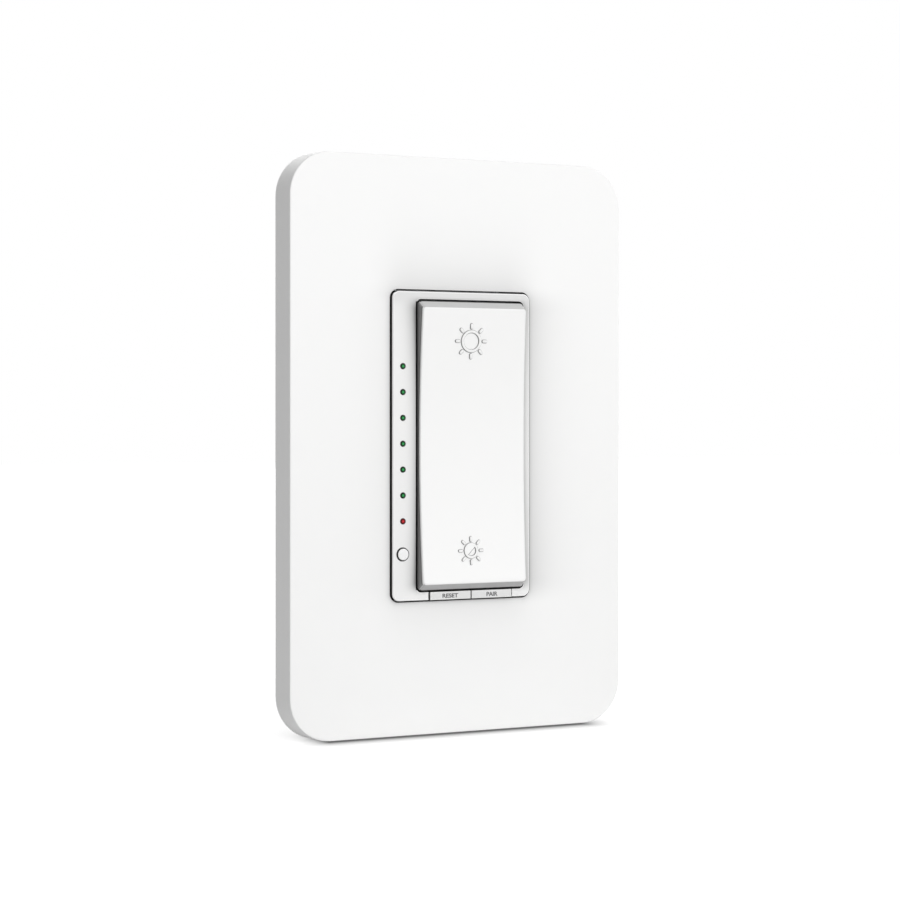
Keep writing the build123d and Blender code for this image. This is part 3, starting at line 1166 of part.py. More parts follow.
# Rear housing: a deep moulded box with screw posts, board ledges and four terminal pockets
with BuildPart() as rear_housing:
    with BuildSketch(front(0)):
        RectangleRounded(HOUSING_W, HOUSING_H, HOUSING_R)
    extrude(amount=-HOUSING_D)
    fillet(rear_housing.faces().sort_by(Axis.Y)[-1].edges(), radius=HOUSING_EDGE_R)
    inner_half_w = HOUSING_W / 2 - HOUSING_WALL
    with BuildSketch(front(0)):
        RectangleRounded(2 * inner_half_w, HOUSING_H - 2 * HOUSING_WALL, HOUSING_R - HOUSING_WALL)
    extrude(amount=HOUSING_FLOOR, mode=Mode.SUBTRACT)
    with BuildSketch(front(0)):
        with Locations(*POSTS):
            Circle(POST_D / 2)
    extrude(amount=HOUSING_FLOOR)
    # Blocks behind the terminal pockets, with the control board's ledges on them
    block_half_z = TERMINAL_Z + TERMINAL_W / 2 + TERMINAL_MARGIN
    for x_sign in (1, -1):
        inner_x = x_sign * (TERMINAL_FLOOR_X - TERMINAL_FLOOR)
        block(
            (inner_x, x_sign * inner_half_w),
            (TERMINAL_TOP + TERMINAL_MARGIN, HOUSING_FLOOR),
            (-block_half_z, block_half_z),
        )
        for z_sign in (1, -1):
            ledge_z = z_sign * LEDGE_Z
            block(
                (x_sign * (inner_half_w - LEDGE_X), x_sign * inner_half_w),
                (CONTROL_BACK, TERMINAL_TOP + TERMINAL_MARGIN),
                (ledge_z - LEDGE_L / 2, ledge_z + LEDGE_L / 2),
            )
    # Shallow panel sunk in the back, between the rows of wire holes
    with BuildSketch(front(-HOUSING_D)):
        RectangleRounded(MAIN_W - 2 * PANEL_MARGIN_X, HOUSING_H - 2 * PANEL_MARGIN_Z, HOUSING_EDGE_R)
    extrude(amount=PANEL_DEPTH, mode=Mode.SUBTRACT)
    # Standoffs under the main board
    with BuildSketch(front(HOUSING_FLOOR)):
        with GridLocations(2 * STANDOFF_X, 2 * STANDOFF_Z, 2, 2):
            Circle(STANDOFF_D / 2)
    extrude(amount=MAIN_STANDOFF)
    # Terminal pockets and the wire holes into them from the back
    for side_sign, z in TERMINALS:
        block(
            (side_sign * TERMINAL_FLOOR_X, side_sign * HOUSING_W / 2),
            (TERMINAL_TOP, TERMINAL_TOP - TERMINAL_L),
            (z - TERMINAL_W / 2, z + TERMINAL_W / 2),
            mode=Mode.SUBTRACT,
        )
    wire_x = TERMINAL_FLOOR_X + PLATE_METAL_T + WIRE_GAP / 2
    with BuildSketch(front(-HOUSING_D)):
        for side_sign, z in TERMINALS:
            with Locations(*[(side_sign * wire_x, z + step) for step in (WIRE_ENTRY_Z, -WIRE_ENTRY_Z)]):
                Circle(WIRE_ENTRY_D / 2)
    extrude(amount=HOUSING_D + TERMINAL_TOP - TERMINAL_L + TERMINAL_MARGIN, mode=Mode.SUBTRACT)
    with BuildSketch(front(0)):
        with Locations(*POSTS):
            Circle(HOUSING_SCREW_D / 2 + SCREW_FIT)
    extrude(amount=-HOUSING_SCREW_L, mode=Mode.SUBTRACT)
    # Bores for the clamping screws
    screw_h = TERMINAL_TOP - TERMINAL_L / 2
    for side_sign, z in TERMINALS:
        with BuildSketch(side(side_sign * TERMINAL_FLOOR_X)):
            with Locations((-screw_h, z)):
                Circle(CLAMP_SCREW_D / 2 + SCREW_FIT)
        extrude(amount=-side_sign * TERMINAL_FLOOR, mode=Mode.SUBTRACT)
finish(rear_housing, "rear_housing")


# Countersunk screws that draw the housing to the strap
with BuildPart() as housing_screws:
    for x, z in POSTS:
        with BuildSketch(front(STRAP_T)):
            with Locations((x, z)):
                Circle(HOUSING_SCREW_HEAD_D / 2)
        extrude(amount=-(HOUSING_SCREW_HEAD_D - HOUSING_SCREW_D) / 2, taper=45)
        with BuildSketch(front(STRAP_T)):
            with Locations((x, z)):
                Circle(HOUSING_SCREW_D / 2)
        extrude(amount=-HOUSING_SCREW_L)
finish(housing_screws, "housing_screws")


# Terminal metal: a saddle plate at each pocket's floor, a loose clamp plate and its screw
with BuildPart() as saddle_plates:
    for side_sign, z in TERMINALS:
        with BuildSketch(side(side_sign * TERMINAL_FLOOR_X)):
            with Locations((-screw_h, z)):
                Rectangle(PLATE_METAL_W, PLATE_METAL_W)
                Circle(CLAMP_SCREW_D / 2 + SCREW_FIT, mode=Mode.SUBTRACT)
        extrude(amount=side_sign * PLATE_METAL_T)
finish(saddle_plates, "saddle_plates")


CLAMP_X = TERMINAL_FLOOR_X + PLATE_METAL_T + WIRE_GAP
with BuildPart() as clamp_plates:
    for side_sign, z in TERMINALS:
        with BuildSketch(side(side_sign * CLAMP_X)):
            with Locations((-screw_h, z)):
                Rectangle(PLATE_METAL_W, PLATE_METAL_W)
                Circle(CLAMP_SCREW_D / 2 + SCREW_FIT, mode=Mode.SUBTRACT)
        extrude(amount=side_sign * PLATE_METAL_T)
finish(clamp_plates, "clamp_plates")


with BuildPart() as terminal_screws:
    for side_sign, z in TERMINALS:
        head_x = side_sign * (CLAMP_X + PLATE_METAL_T)
        with BuildSketch(side(head_x)):
            with Locations((-screw_h, z)):
                Circle(CLAMP_HEAD_D / 2)
        extrude(amount=side_sign * CLAMP_HEAD_T)
        with BuildSketch(side(head_x)):
            with Locations((-screw_h, z)):
                Circle(CLAMP_SCREW_D / 2)
        extrude(amount=-side_sign * (WIRE_GAP + 2 * PLATE_METAL_T + TERMINAL_FLOOR - CLAMP_CLEARANCE))
        block(
            (head_x + side_sign * CLAMP_HEAD_T, head_x + side_sign * CLAMP_HEAD_T / 2),
            (screw_h - SCREW_SLOT_W / 2, screw_h + SCREW_SLOT_W / 2),
            (z - CLAMP_HEAD_D / 2, z + CLAMP_HEAD_D / 2),
            mode=Mode.SUBTRACT,
        )
finish(terminal_screws, "terminal_screws")
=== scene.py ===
"""Looks of an in-wall smart dimmer switch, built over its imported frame.

The wall is the plane Y = 0, the face of the device looks along -Y and +Z is up. Sizes are in
millimetres and go into the meshes in metres. A height h is measured out of the wall, so Y = -h.
"""
import logging
import math
from dataclasses import dataclass, field, replace
from enum import Enum
from typing import Any, Callable, Iterable, Sequence

import bmesh
import bpy
from mathutils import Matrix, Vector


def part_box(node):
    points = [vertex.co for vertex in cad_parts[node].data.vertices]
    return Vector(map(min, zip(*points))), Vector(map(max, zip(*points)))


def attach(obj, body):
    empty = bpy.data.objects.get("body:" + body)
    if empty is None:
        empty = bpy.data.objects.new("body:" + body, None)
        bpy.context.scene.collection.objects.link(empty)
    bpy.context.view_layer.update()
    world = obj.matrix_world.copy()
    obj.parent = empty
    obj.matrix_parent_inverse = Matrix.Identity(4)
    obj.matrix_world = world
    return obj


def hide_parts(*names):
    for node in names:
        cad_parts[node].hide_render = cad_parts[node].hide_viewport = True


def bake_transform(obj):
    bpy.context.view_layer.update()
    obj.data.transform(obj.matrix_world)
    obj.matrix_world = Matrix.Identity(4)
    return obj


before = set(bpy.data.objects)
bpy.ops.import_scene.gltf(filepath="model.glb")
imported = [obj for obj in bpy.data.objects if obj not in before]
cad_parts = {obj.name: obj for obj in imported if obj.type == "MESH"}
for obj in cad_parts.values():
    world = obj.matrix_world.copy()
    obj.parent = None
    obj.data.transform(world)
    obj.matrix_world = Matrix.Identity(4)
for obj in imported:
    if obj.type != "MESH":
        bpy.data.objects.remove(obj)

MM = 0.001
ROOT = 0.2  # how deep a raised mark reaches under its face
LOG = logging.getLogger("dimmer")
Triple = tuple[float, float, float]
Colour = Triple
Settings = dict[str, Any] | None
Inputs = dict[Any, Any] | None
WHITE: Colour = (1.0, 1.0, 1.0)
BLACK: Colour = (0.0, 0.0, 0.0)


class Body(Enum):
    """The bodies of the mechanism that a piece can ride on."""

    FIXED = "body"
    ROCKER = "rocker"
    RESET_KEY = "reset_key"
    PAIR_KEY = "pair_key"
    BUTTON = "program_button"


class Value:
    """One number of a shader, which adds Math nodes when it is used in an expression."""

    def __init__(self, shader: "Shader", socket: bpy.types.NodeSocket) -> None:
        """Wrap an output socket.

        Args:
            shader: The shader that the socket belongs to.
            socket: The output that carries the number.
        """
        self.shader = shader
        self.socket = socket

    def math(self, operation: str, *others: "Value | float") -> "Value":
        """Add a Math node that starts from this number.

        Args:
            operation: The Math node's operation.
            others: Its further operands.

        Returns:
            The node's result.
        """
        operands = dict(enumerate((self, *others)))
        return self.shader.value("ShaderNodeMath", {"operation": operation}, operands)

    def turned(self, operation: str, first: float) -> "Value":
        """Add a Math node with a plain number as its first operand and this one second."""
        return self.shader.value("ShaderNodeMath", {"operation": operation}, {0: first, 1: self})

    def __add__(self, other: "Value | float") -> "Value":
        """Sum of two numbers."""
        return self.math("ADD", other)

    def __radd__(self, other: float) -> "Value":
        """Sum with a plain number in front."""
        return self.turned("ADD", other)

    def __sub__(self, other: "Value | float") -> "Value":
        """Difference of two numbers."""
        return self.math("SUBTRACT", other)

    def __rsub__(self, other: float) -> "Value":
        """Difference from a plain number."""
        return self.turned("SUBTRACT", other)

    def __mul__(self, other: "Value | float") -> "Value":
        """Product of two numbers."""
        return self.math("MULTIPLY", other)

    def __rmul__(self, other: float) -> "Value":
        """Product with a plain number in front."""
        return self.turned("MULTIPLY", other)

    def __truediv__(self, other: "Value | float") -> "Value":
        """Quotient of two numbers."""
        return self.math("DIVIDE", other)

    def __abs__(self) -> "Value":
        """Size without the sign."""
        return self.math("ABSOLUTE")

    def __neg__(self) -> "Value":
        """The same number with the other sign."""
        return self.turned("SUBTRACT", 0.0)

    def fading(self, share: "Value | float", reach: "Value | float") -> "Value":
        """A share that fades out as the number grows, to about a third at the reach."""
        return (-self / reach).math("EXPONENT") * share

    def above(self, limit: float) -> "Value":
        """The amount by which the number passes a limit, or nought."""
        return (self - limit).at_least(0.0)

    def at_least(self, other: "Value | float") -> "Value":
        """The larger of two numbers."""
        return self.math("MAXIMUM", other)

    def diagonal(self, other: "Value") -> "Value":
        """Length of the diagonal over two legs, this number and another."""
        return (self * self + other * other).math("SQRT")

    def ramp(self, low: float, high: float) -> "Value":
        """Make a soft step of the number, which may rise or fall.

        Args:
            low: Where the step is 0.
            high: Where it is 1; this may be the smaller of the two.

        Returns:
            The step.
        """
        settings = {"interpolation_type": "SMOOTHSTEP"}
        ends = (low, high, 0.0, 1.0) if low < high else (high, low, 1.0, 0.0)
        inputs = {0: self, 1: ends[0], 2: ends[1], 3: ends[2], 4: ends[3]}
        return self.shader.value("ShaderNodeMapRange", settings, inputs)


@dataclass(frozen=True)
class Place:
    """Where a point of the surface lies, in millimetres.

    Attributes:
        x: To the right, seen from the front.
        h: Out of the wall.
        z: Upwards.
        vector: All three as the mesh has them, for textures.
        sideways: How far the surface faces left or right, from 0 to 1.
        frontal: How far it faces the front or the back.
        upright: How far it faces up or down.
    """

    x: Value
    h: Value
    z: Value
    vector: bpy.types.NodeSocket
    sideways: Value
    frontal: Value
    upright: Value

    def apart(self, x: float, z: float) -> Value:
        """Distance from a line that runs straight out of the wall."""
        return (self.x - x).diagonal(self.z - z)

    def apart_from_row(self, x: float, top_z: float, pitch: float) -> Value:
        """Distance from the nearest of a row of such lines.

        Args:
            x: Place of the row.
            top_z: Height of its topmost line.
            pitch: Distance between lines, downwards.

        Returns:
            The distance.
        """
        step = ((top_z - self.z) / pitch + 0.5).math("FRACT")
        return (self.x - x).diagonal((step - 0.5) * pitch)


class Shader:
    """The node tree of one material or of the world, built node by node."""

    def __init__(self, name: str, owner: bpy.types.ID | None = None) -> None:
        """Start an empty node tree.

        Args:
            name: The material's name.
            owner: What the tree belongs to, where that isn't a new material.
        """
        self.owner = owner or bpy.data.materials.new(name)
        self.owner.use_nodes = True
        self.nodes = self.owner.node_tree.nodes
        self.links = self.owner.node_tree.links
        self.nodes.clear()

    def node(self, kind: str, settings: Settings = None, inputs: Inputs = None) -> bpy.types.Node:
        """Add a node, choose its settings and then fill its sockets.

        Args:
            kind: The node's type.
            settings: Its own properties.
            inputs: Values or links by the socket's name or number; a colour has three parts.

        Returns:
            The node.
        """
        made = self.nodes.new(kind)
        for name, setting in (settings or {}).items():
            setattr(made, name, setting)
        for name, given in (inputs or {}).items():
            socket = made.inputs[name]
            if isinstance(given, Value):
                given = given.socket
            if isinstance(given, bpy.types.NodeSocket):
                self.links.new(given, socket)
            elif socket.type == "RGBA":
                socket.default_value = (*given, 1.0)
            else:
                socket.default_value = given
        return made

    def value(self, kind: str, settings: Settings = None, inputs: Inputs = None) -> Value:
        """Add a node and take its first output as a number."""
        return Value(self, self.node(kind, settings, inputs).outputs[0])

    def parts(self, vector: bpy.types.NodeSocket) -> list[Value]:
        """Split a vector into its three numbers."""
        split = self.node("ShaderNodeSeparateXYZ", None, {0: vector})
        return [Value(self, part) for part in split.outputs]

    def place(self) -> Place:
        """Read where the surface lies.

        Returns:
            The place in millimetres.
        """
        source = self.node("ShaderNodeTexCoord").outputs
        inputs = {0: source["Object"], "Scale": 1 / MM}
        scaled = self.node("ShaderNodeVectorMath", {"operation": "SCALE"}, inputs).outputs[0]
        x, y, z = self.parts(scaled)
        return Place(x, -y, z, scaled, *[abs(part) for part in self.parts(source["Normal"])])

    def seen(self) -> Value:
        """Whether the eye sees the surface, straight, in a reflection or through glass.

        Returns:
            1 where it does and 0 for the light that the surface throws on others.
        """
        path = self.node("ShaderNodeLightPath").outputs
        eye = Value(self, path["Is Camera Ray"])
        for name in ("Is Glossy Ray", "Is Transmission Ray"):
            eye = eye.at_least(Value(self, path[name]))
        return eye

    def noise(
        self, place: Place, per_mm: float, detail: float = 2.0, stretch: Triple = (1.0, 1.0, 1.0)
    ) -> Value:
        """A soft random pattern between 0 and 1.

        Args:
            place: Where the surface lies.
            per_mm: Blotches in a millimetre.
            detail: Finer layers of the pattern.
            stretch: Scale along each axis, for brushed and drawn looks.

        Returns:
            The pattern.
        """
        inputs = {"Vector": place.vector, "Scale": stretch}
        stretched = self.node("ShaderNodeMapping", None, inputs).outputs[0]
        inputs = {"Vector": stretched, "Scale": per_mm, "Detail": detail}
        return self.value("ShaderNodeTexNoise", {"noise_dimensions": "3D"}, inputs)

    def blend(self, share: "Value | float", first: Any, second: Any) -> bpy.types.NodeSocket:
        """Mix two colours.

        Args:
            share: How much of the second colour there is.
            first: A colour or a colour socket.
            second: A colour or a colour socket.

        Returns:
            The mixed colour.
        """
        settings = {"data_type": "RGBA", "blend_type": "MIX"}
        return self.node("ShaderNodeMix", settings, {0: share, 6: first, 7: second}).outputs[2]

    def bump(self, height: Value, depth_mm: float) -> bpy.types.NodeSocket:
        """Turn a height pattern into a normal.

        Args:
            height: The pattern, from 0 to 1.
            depth_mm: How deep it is.

        Returns:
            The normal.
        """
        inputs = {"Strength": 1.0, "Distance": depth_mm * MM, "Height": height}
        return self.node("ShaderNodeBump", None, inputs).outputs[0]

    def surface(self, **sockets: Any) -> bpy.types.Material:
        """Finish the material with its surface node.

        Args:
            sockets: The node's sockets, with underscores for the spaces in their names.

        Returns:
            The finished material.
        """
        inputs = {name.replace("_", " "): given for name, given in sockets.items()}
        return self.close(self.node("ShaderNodeBsdfPrincipled", None, inputs))

    def close(self, last: bpy.types.Node) -> bpy.types.Material:
        """Lead the last node to the output and hand over the material."""
        self.node("ShaderNodeOutputMaterial", None, {"Surface": last.outputs[0]})
        return self.owner


@dataclass(frozen=True)
class Fade:
    """A soft shadow that fades out with distance.

    Attributes:
        share: How dark it is where it starts, from 0 to 1.
        reach: Distance at which about a third of it is left.
    """

    share: float
    reach: float

    def at(self, apart: Value, more: "Value | float" = 0.0) -> Value:
        """Darkness at a distance, of a shadow that may start darker by some more."""
        return apart.fading(self.share + more, self.reach)


@dataclass(frozen=True)
class Finish:
    """A finish, which makes one material.

    Attributes:
        name: The finish's name.
    """

    name: str

    def make(self) -> bpy.types.Material:
        """Build the material."""
        raise NotImplementedError


Shade = Callable[[Place], Value]


@dataclass(frozen=True)
class Moulded(Finish):
    """Moulded plastic with a faint grain.

    Attributes:
        colour: Its plain colour.
        roughness: Mean roughness of the surface.
        mottle: Share by which the colour drifts over the surface.
        grain_per_mm: Grains of the texture in a millimetre.
        relief_mm: Depth of the texture.
        rim: Share of painted highlight on rounded edges, which makes them paler than the flats.
        shade: Painted shade, where the surface lies in shade or in a narrow gap, from 0 to 1.
        deep: Colour of the painted shade at its darkest, as inside such a gap.
        drifts_per_mm: Blotches of the drifting colour in a millimetre.
    """

    colour: Colour
    roughness: float = 0.4
    mottle: float = 0.012
    grain_per_mm: float = 5.0
    relief_mm: float = 0.003
    rim: float = 0.0
    shade: Shade | None = None
    deep: Colour = (0.004, 0.004, 0.004)
    drifts_per_mm: float = 0.09

    def make(self) -> bpy.types.Material:
        """Build the material.

        Returns:
            The finished material.
        """
        shader = Shader(self.name)
        place = shader.place()
        broad = shader.noise(place, self.drifts_per_mm, 3.0)
        fine = shader.noise(place, self.grain_per_mm, 3.0)
        low = tuple(part * (1 - 2 * self.mottle) for part in self.colour)
        colour = shader.blend(broad, low, self.colour)
        # painted highlight: rounded edges, found by their normals, are blended towards white
        rounded = place.frontal.ramp(0.35, 0.6) * place.frontal.ramp(0.9995, 0.985)
        if self.rim:
            colour = shader.blend(rounded * self.rim, colour, WHITE)
        # painted shade: the shade mask blends the colour towards the deep colour
        if self.shade is not None:
            colour = shader.blend(self.shade(place), colour, self.deep)
        rough = self.roughness - 0.05 + 0.06 * broad + 0.04 * fine
        normal = shader.bump(fine, self.relief_mm)
        return shader.surface(Base_Color=colour, Roughness=rough, IOR=1.5, Normal=normal)


@dataclass(frozen=True)
class BareMetal(Finish):
    """Rolled, plated or machined metal.

    Attributes:
        colour: Its plain colour.
        roughness: Mean roughness.
        grain: Scale of the grain along each axis; uneven scales look brushed.
        tarnish: Share of duller, darker metal.
        relief_mm: Depth of the grain.
        clouds_per_mm: Clouds of tarnish in a millimetre.
    """

    colour: Colour
    roughness: float = 0.32
    grain: Triple = (2.0, 2.0, 2.0)
    tarnish: float = 0.25
    relief_mm: float = 0.002
    clouds_per_mm: float = 0.12

    def make(self) -> bpy.types.Material:
        """Build the material.

        Returns:
            The finished material.
        """
        shader = Shader(self.name)
        place = shader.place()
        grain = shader.noise(place, 1.0, 4.0, self.grain)
        cloud = shader.noise(place, self.clouds_per_mm, 3.0)
        dull = tuple(part * (1 - self.tarnish) for part in self.colour)
        colour = shader.blend(cloud * 0.6 + grain * 0.4, dull, self.colour)
        rough = self.roughness - 0.08 + 0.14 * grain + 0.06 * cloud
        normal = shader.bump(grain, self.relief_mm)
        return shader.surface(Base_Color=colour, Metallic=1.0, Roughness=rough, Normal=normal)


@dataclass(frozen=True)
class Galvanised(Finish):
    """Zinc-coated sheet with its crystal spangle.

    Attributes:
        colour: Its plain colour.
        crystals_per_mm: Crystals in a millimetre.
        dullest: Share of the colour that the dullest crystal keeps.
    """

    colour: Colour
    crystals_per_mm: float = 0.35
    dullest: float = 0.82

    def make(self) -> bpy.types.Material:
        """Build the material.

        Returns:
            The finished material.
        """
        shader = Shader(self.name)
        place = shader.place()
        inputs = {"Vector": place.vector, "Scale": self.crystals_per_mm}
        cell = shader.node("ShaderNodeTexVoronoi", {"feature": "F1"}, inputs)
        split = shader.node("ShaderNodeSeparateColor", None, {0: cell.outputs["Color"]})
        crystal = Value(shader, split.outputs[0])
        fine = shader.noise(place, 4.0, 3.0)
        dull = tuple(part * self.dullest for part in self.colour)
        colour = shader.blend(crystal, dull, self.colour)
        rough = 0.28 + 0.16 * crystal + 0.05 * fine
        normal = shader.bump(fine, 0.002)
        return shader.surface(Base_Color=colour, Metallic=1.0, Roughness=rough, Normal=normal)


@dataclass(frozen=True)
class Laminate(Finish):
    """Circuit board: green mask over copper tracks.

    Attributes:
        colour: Colour of the mask over bare laminate.
        over_copper: Colour of the mask over a track.
        tracks_per_mm: Tracks in a millimetre.
    """

    colour: Colour = (0.015, 0.11, 0.05)
    over_copper: Colour = (0.03, 0.2, 0.08)
    tracks_per_mm: float = 0.16

    def make(self) -> bpy.types.Material:
        """Build the material.

        Returns:
            The finished material.
        """
        shader = Shader(self.name)
        place = shader.place()
        settings = {"wave_type": "BANDS", "bands_direction": "DIAGONAL"}
        inputs = {"Vector": place.vector, "Scale": self.tracks_per_mm, "Distortion": 7.0}
        inputs |= {"Detail": 1.0, "Detail Scale": 0.4}
        track = shader.value("ShaderNodeTexWave", settings, inputs).ramp(0.55, 0.62)
        colour = shader.blend(track, self.colour, self.over_copper)
        fine = shader.noise(place, 2.5, 2.0)
        rough = 0.22 + 0.1 * fine
        normal = shader.bump(track * 0.7 + fine * 0.3, 0.02)
        return shader.surface(Base_Color=colour, Roughness=rough, Normal=normal, Coat_Weight=0.3)


@dataclass(frozen=True)
class Lights(Finish):
    """The tips of the light guide, green with a red one at the foot of the row.

    Attributes:
        x: Place of the row.
        top_z: Centre of the topmost light.
        pitch: Distance between lights.
        red_below: Height under which the light is red.
        radius: Radius of a tip.
        green: Colours of a green light, at its rim and at its core, where the paler core is a painted
            highlight.
        red: Colours of a red light, at its rim and at its core, where the paler core is a painted highlight.
        glow: Strength of its painted glow, for a light that is not lit.
    """

    x: float
    top_z: float
    pitch: float
    red_below: float
    radius: float
    green: tuple[Colour, Colour] = ((0.0, 0.012, 0.001), (0.02, 0.3, 0.07))
    red: tuple[Colour, Colour] = ((0.07, 0.001, 0.001), (0.55, 0.02, 0.025))
    glow: float = 0.12

    def make(self) -> bpy.types.Material:
        """Build the material.

        Returns:
            The finished material.
        """
        shader = Shader(self.name)
        place = shader.place()
        apart = place.apart_from_row(self.x, self.top_z, self.pitch) / self.radius
        # painted highlight: each tip is paler at its core
        core = apart.ramp(0.78, 0.15)
        green, red = shader.blend(core, *self.green), shader.blend(core, *self.red)
        colour = shader.blend(place.z.ramp(self.red_below + 0.1, self.red_below - 0.1), green, red)
        rough = 0.3 + 0.1 * shader.noise(place, 6.0, 2.0)
        # painted glow: the unlit tips emit their own colour
        return shader.surface(
            Base_Color=colour,
            Roughness=rough,
            Specular_IOR_Level=0.12,
            Emission_Color=colour,
            Emission_Strength=self.glow,
        )


@dataclass(frozen=True)
class Wound(Finish):
    """Enamelled copper wire round a ring core.

    Attributes:
        x: Place of the ring's axis.
        z: Place of the ring's axis.
        turns: Turns of wire round the ring.
        between: Colour between two turns.
        copper: Colour of the wire.
    """

    x: float
    z: float
    turns: float = 46.0
    between: Colour = (0.16, 0.035, 0.008)
    copper: Colour = (0.62, 0.23, 0.07)

    def make(self) -> bpy.types.Material:
        """Build the material.

        Returns:
            The finished material.
        """
        shader = Shader(self.name)
        place = shader.place()
        angle = (place.z - self.z).math("ARCTAN2", place.x - self.x)
        wave = (angle * self.turns).math("SINE") * 0.5 + 0.5
        colour = shader.blend(wave, self.between, self.copper)
        rough = 0.2 + 0.2 * (1 - wave)
        normal = shader.bump(wave, 0.25)
        return shader.surface(Base_Color=colour, Metallic=0.75, Roughness=rough, Normal=normal)


@dataclass(frozen=True)
class Banded(Finish):
    """A glossy case or sleeve with a band of another colour along it.

    Attributes:
        colour: The case's colour.
        band: The band's colour.
        x: Middle of the band.
        half_width: Half the band's width.
        roughness: Mean roughness.
    """

    colour: Colour
    band: Colour
    x: float
    half_width: float
    roughness: float = 0.3

    def make(self) -> bpy.types.Material:
        """Build the material.

        Returns:
            The finished material.
        """
        shader = Shader(self.name)
        place = shader.place()
        inside = abs(place.x - self.x).ramp(self.half_width + 0.1, self.half_width - 0.1)
        fine = shader.noise(place, 3.0, 2.0)
        colour = shader.blend(inside, self.colour, self.band)
        rough = self.roughness + 0.1 * fine
        normal = shader.bump(fine, 0.01)
        return shader.surface(Base_Color=colour, Roughness=rough, Normal=normal, Coat_Weight=0.2)


@dataclass(frozen=True)
class Glass(Finish):
    """Clear glass or acrylic, dark and glossy where no light comes through.

    Attributes:
        colour: Its tint.
    """

    colour: Colour = (0.75, 0.78, 0.76)

    def make(self) -> bpy.types.Material:
        """Build the material.

        Returns:
            The finished material.
        """
        shader = Shader(self.name)
        place = shader.place()
        fine = shader.noise(place, 1.5, 2.0)
        rough = 0.06 + 0.06 * fine
        return shader.surface(Base_Color=self.colour, Roughness=rough, IOR=1.49, Transmission_Weight=0.7)


def add_object(name: str, data: bpy.types.ID) -> bpy.types.Object:
    """Put an object with its data into the scene.

    Args:
        name: The object's name.
        data: Its mesh, curve, lamp or camera.

    Returns:
        The object.
    """
    made = bpy.data.objects.new(name, data)
    bpy.context.scene.collection.objects.link(made)
    return made


def piece_from(
    bm: bmesh.types.BMesh, name: str, body: Body | None, crease_deg: float = 34.0
) -> bpy.types.Object:
    """Make an object of a finished mesh, with soft rounded edges and flat flats.

    Args:
        bm: The mesh, which is freed.
        name: The piece's name.
        body: The body that it rides on, or None to leave it on no body.
        crease_deg: Edges sharper than this stay sharp.

    Returns:
        The object.
    """
    for edge in bm.edges:
        sharp = len(edge.link_faces) != 2 or edge.calc_face_angle(0.0) > math.radians(crease_deg)
        edge.smooth = not sharp
    for face in bm.faces:
        face.smooth = True
    mesh = bpy.data.meshes.new(name)
    bm.to_mesh(mesh)
    bm.free()
    made = add_object(name, mesh)
    weighted = made.modifiers.new("flat flats", "WEIGHTED_NORMAL")
    weighted.keep_sharp = True
    if body:
        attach(made, body.value)
    return made


def merged_copy(node: str) -> bmesh.types.BMesh:
    """Copy a node's mesh and join its loose triangles.

    Args:
        node: The node.

    Returns:
        The joined copy, in metres.
    """
    bm = bmesh.new()
    bm.from_mesh(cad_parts[node].data)
    for layer in list(bm.loops.layers.float_vector.values()):
        bm.loops.layers.float_vector.remove(layer)
    bmesh.ops.remove_doubles(bm, verts=bm.verts, dist=2e-6)
    return bm


def casting(
    node: str,
    body: Body,
    materials: Sequence[bpy.types.Material],
    pick: Callable[[Vector], int] | None = None,
) -> None:
    """Dress a node with a merged copy of its own shape.

    Args:
        node: The node that the copy stands for.
        body: The body that it rides on.
        materials: The finishes that the copy carries.
        pick: Gives the number of the finish for a face's middle, in millimetres.
    """
    bm = merged_copy(node)
    for face in bm.faces:
        face.material_index = pick(face.calc_center_median() / MM) if pick else 0
    made = piece_from(bm, f"{node}_dressed", body)
    for material in materials:
        made.data.materials.append(material)
    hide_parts(node)


def rescale(bm: bmesh.types.BMesh, factor: float) -> None:
    """Scale a mesh about the origin."""
    bmesh.ops.scale(bm, vec=(factor, factor, factor), verts=bm.verts)


def cut_away(bm: bmesh.types.BMesh, at: Triple, normal: Triple, outer: bool) -> None:
    """Cut a closed mesh with a plane, drop one side of it and close the cut.

    Args:
        bm: The mesh.
        at: A point of the plane.
        normal: The plane's normal.
        outer: Whether the side that the normal looks to goes, or else the other one.
    """
    geom, sides = [*bm.verts, *bm.edges, *bm.faces], {"clear_outer": outer, "clear_inner": not outer}
    cut = bmesh.ops.bisect_plane(bm, geom=geom, plane_co=at, plane_no=normal, **sides)
    rims = [item for item in cut["geom_cut"] if isinstance(item, bmesh.types.BMEdge)]
    bmesh.ops.holes_fill(bm, edges=rims, sides=0)


def dress(node: str, material: bpy.types.Material) -> None:
    """Give a node that shows its own mesh its finish.

    Args:
        node: The node.
        material: Its finish.
    """
    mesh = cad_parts[node].data
    mesh.materials.clear()
    mesh.materials.append(material)


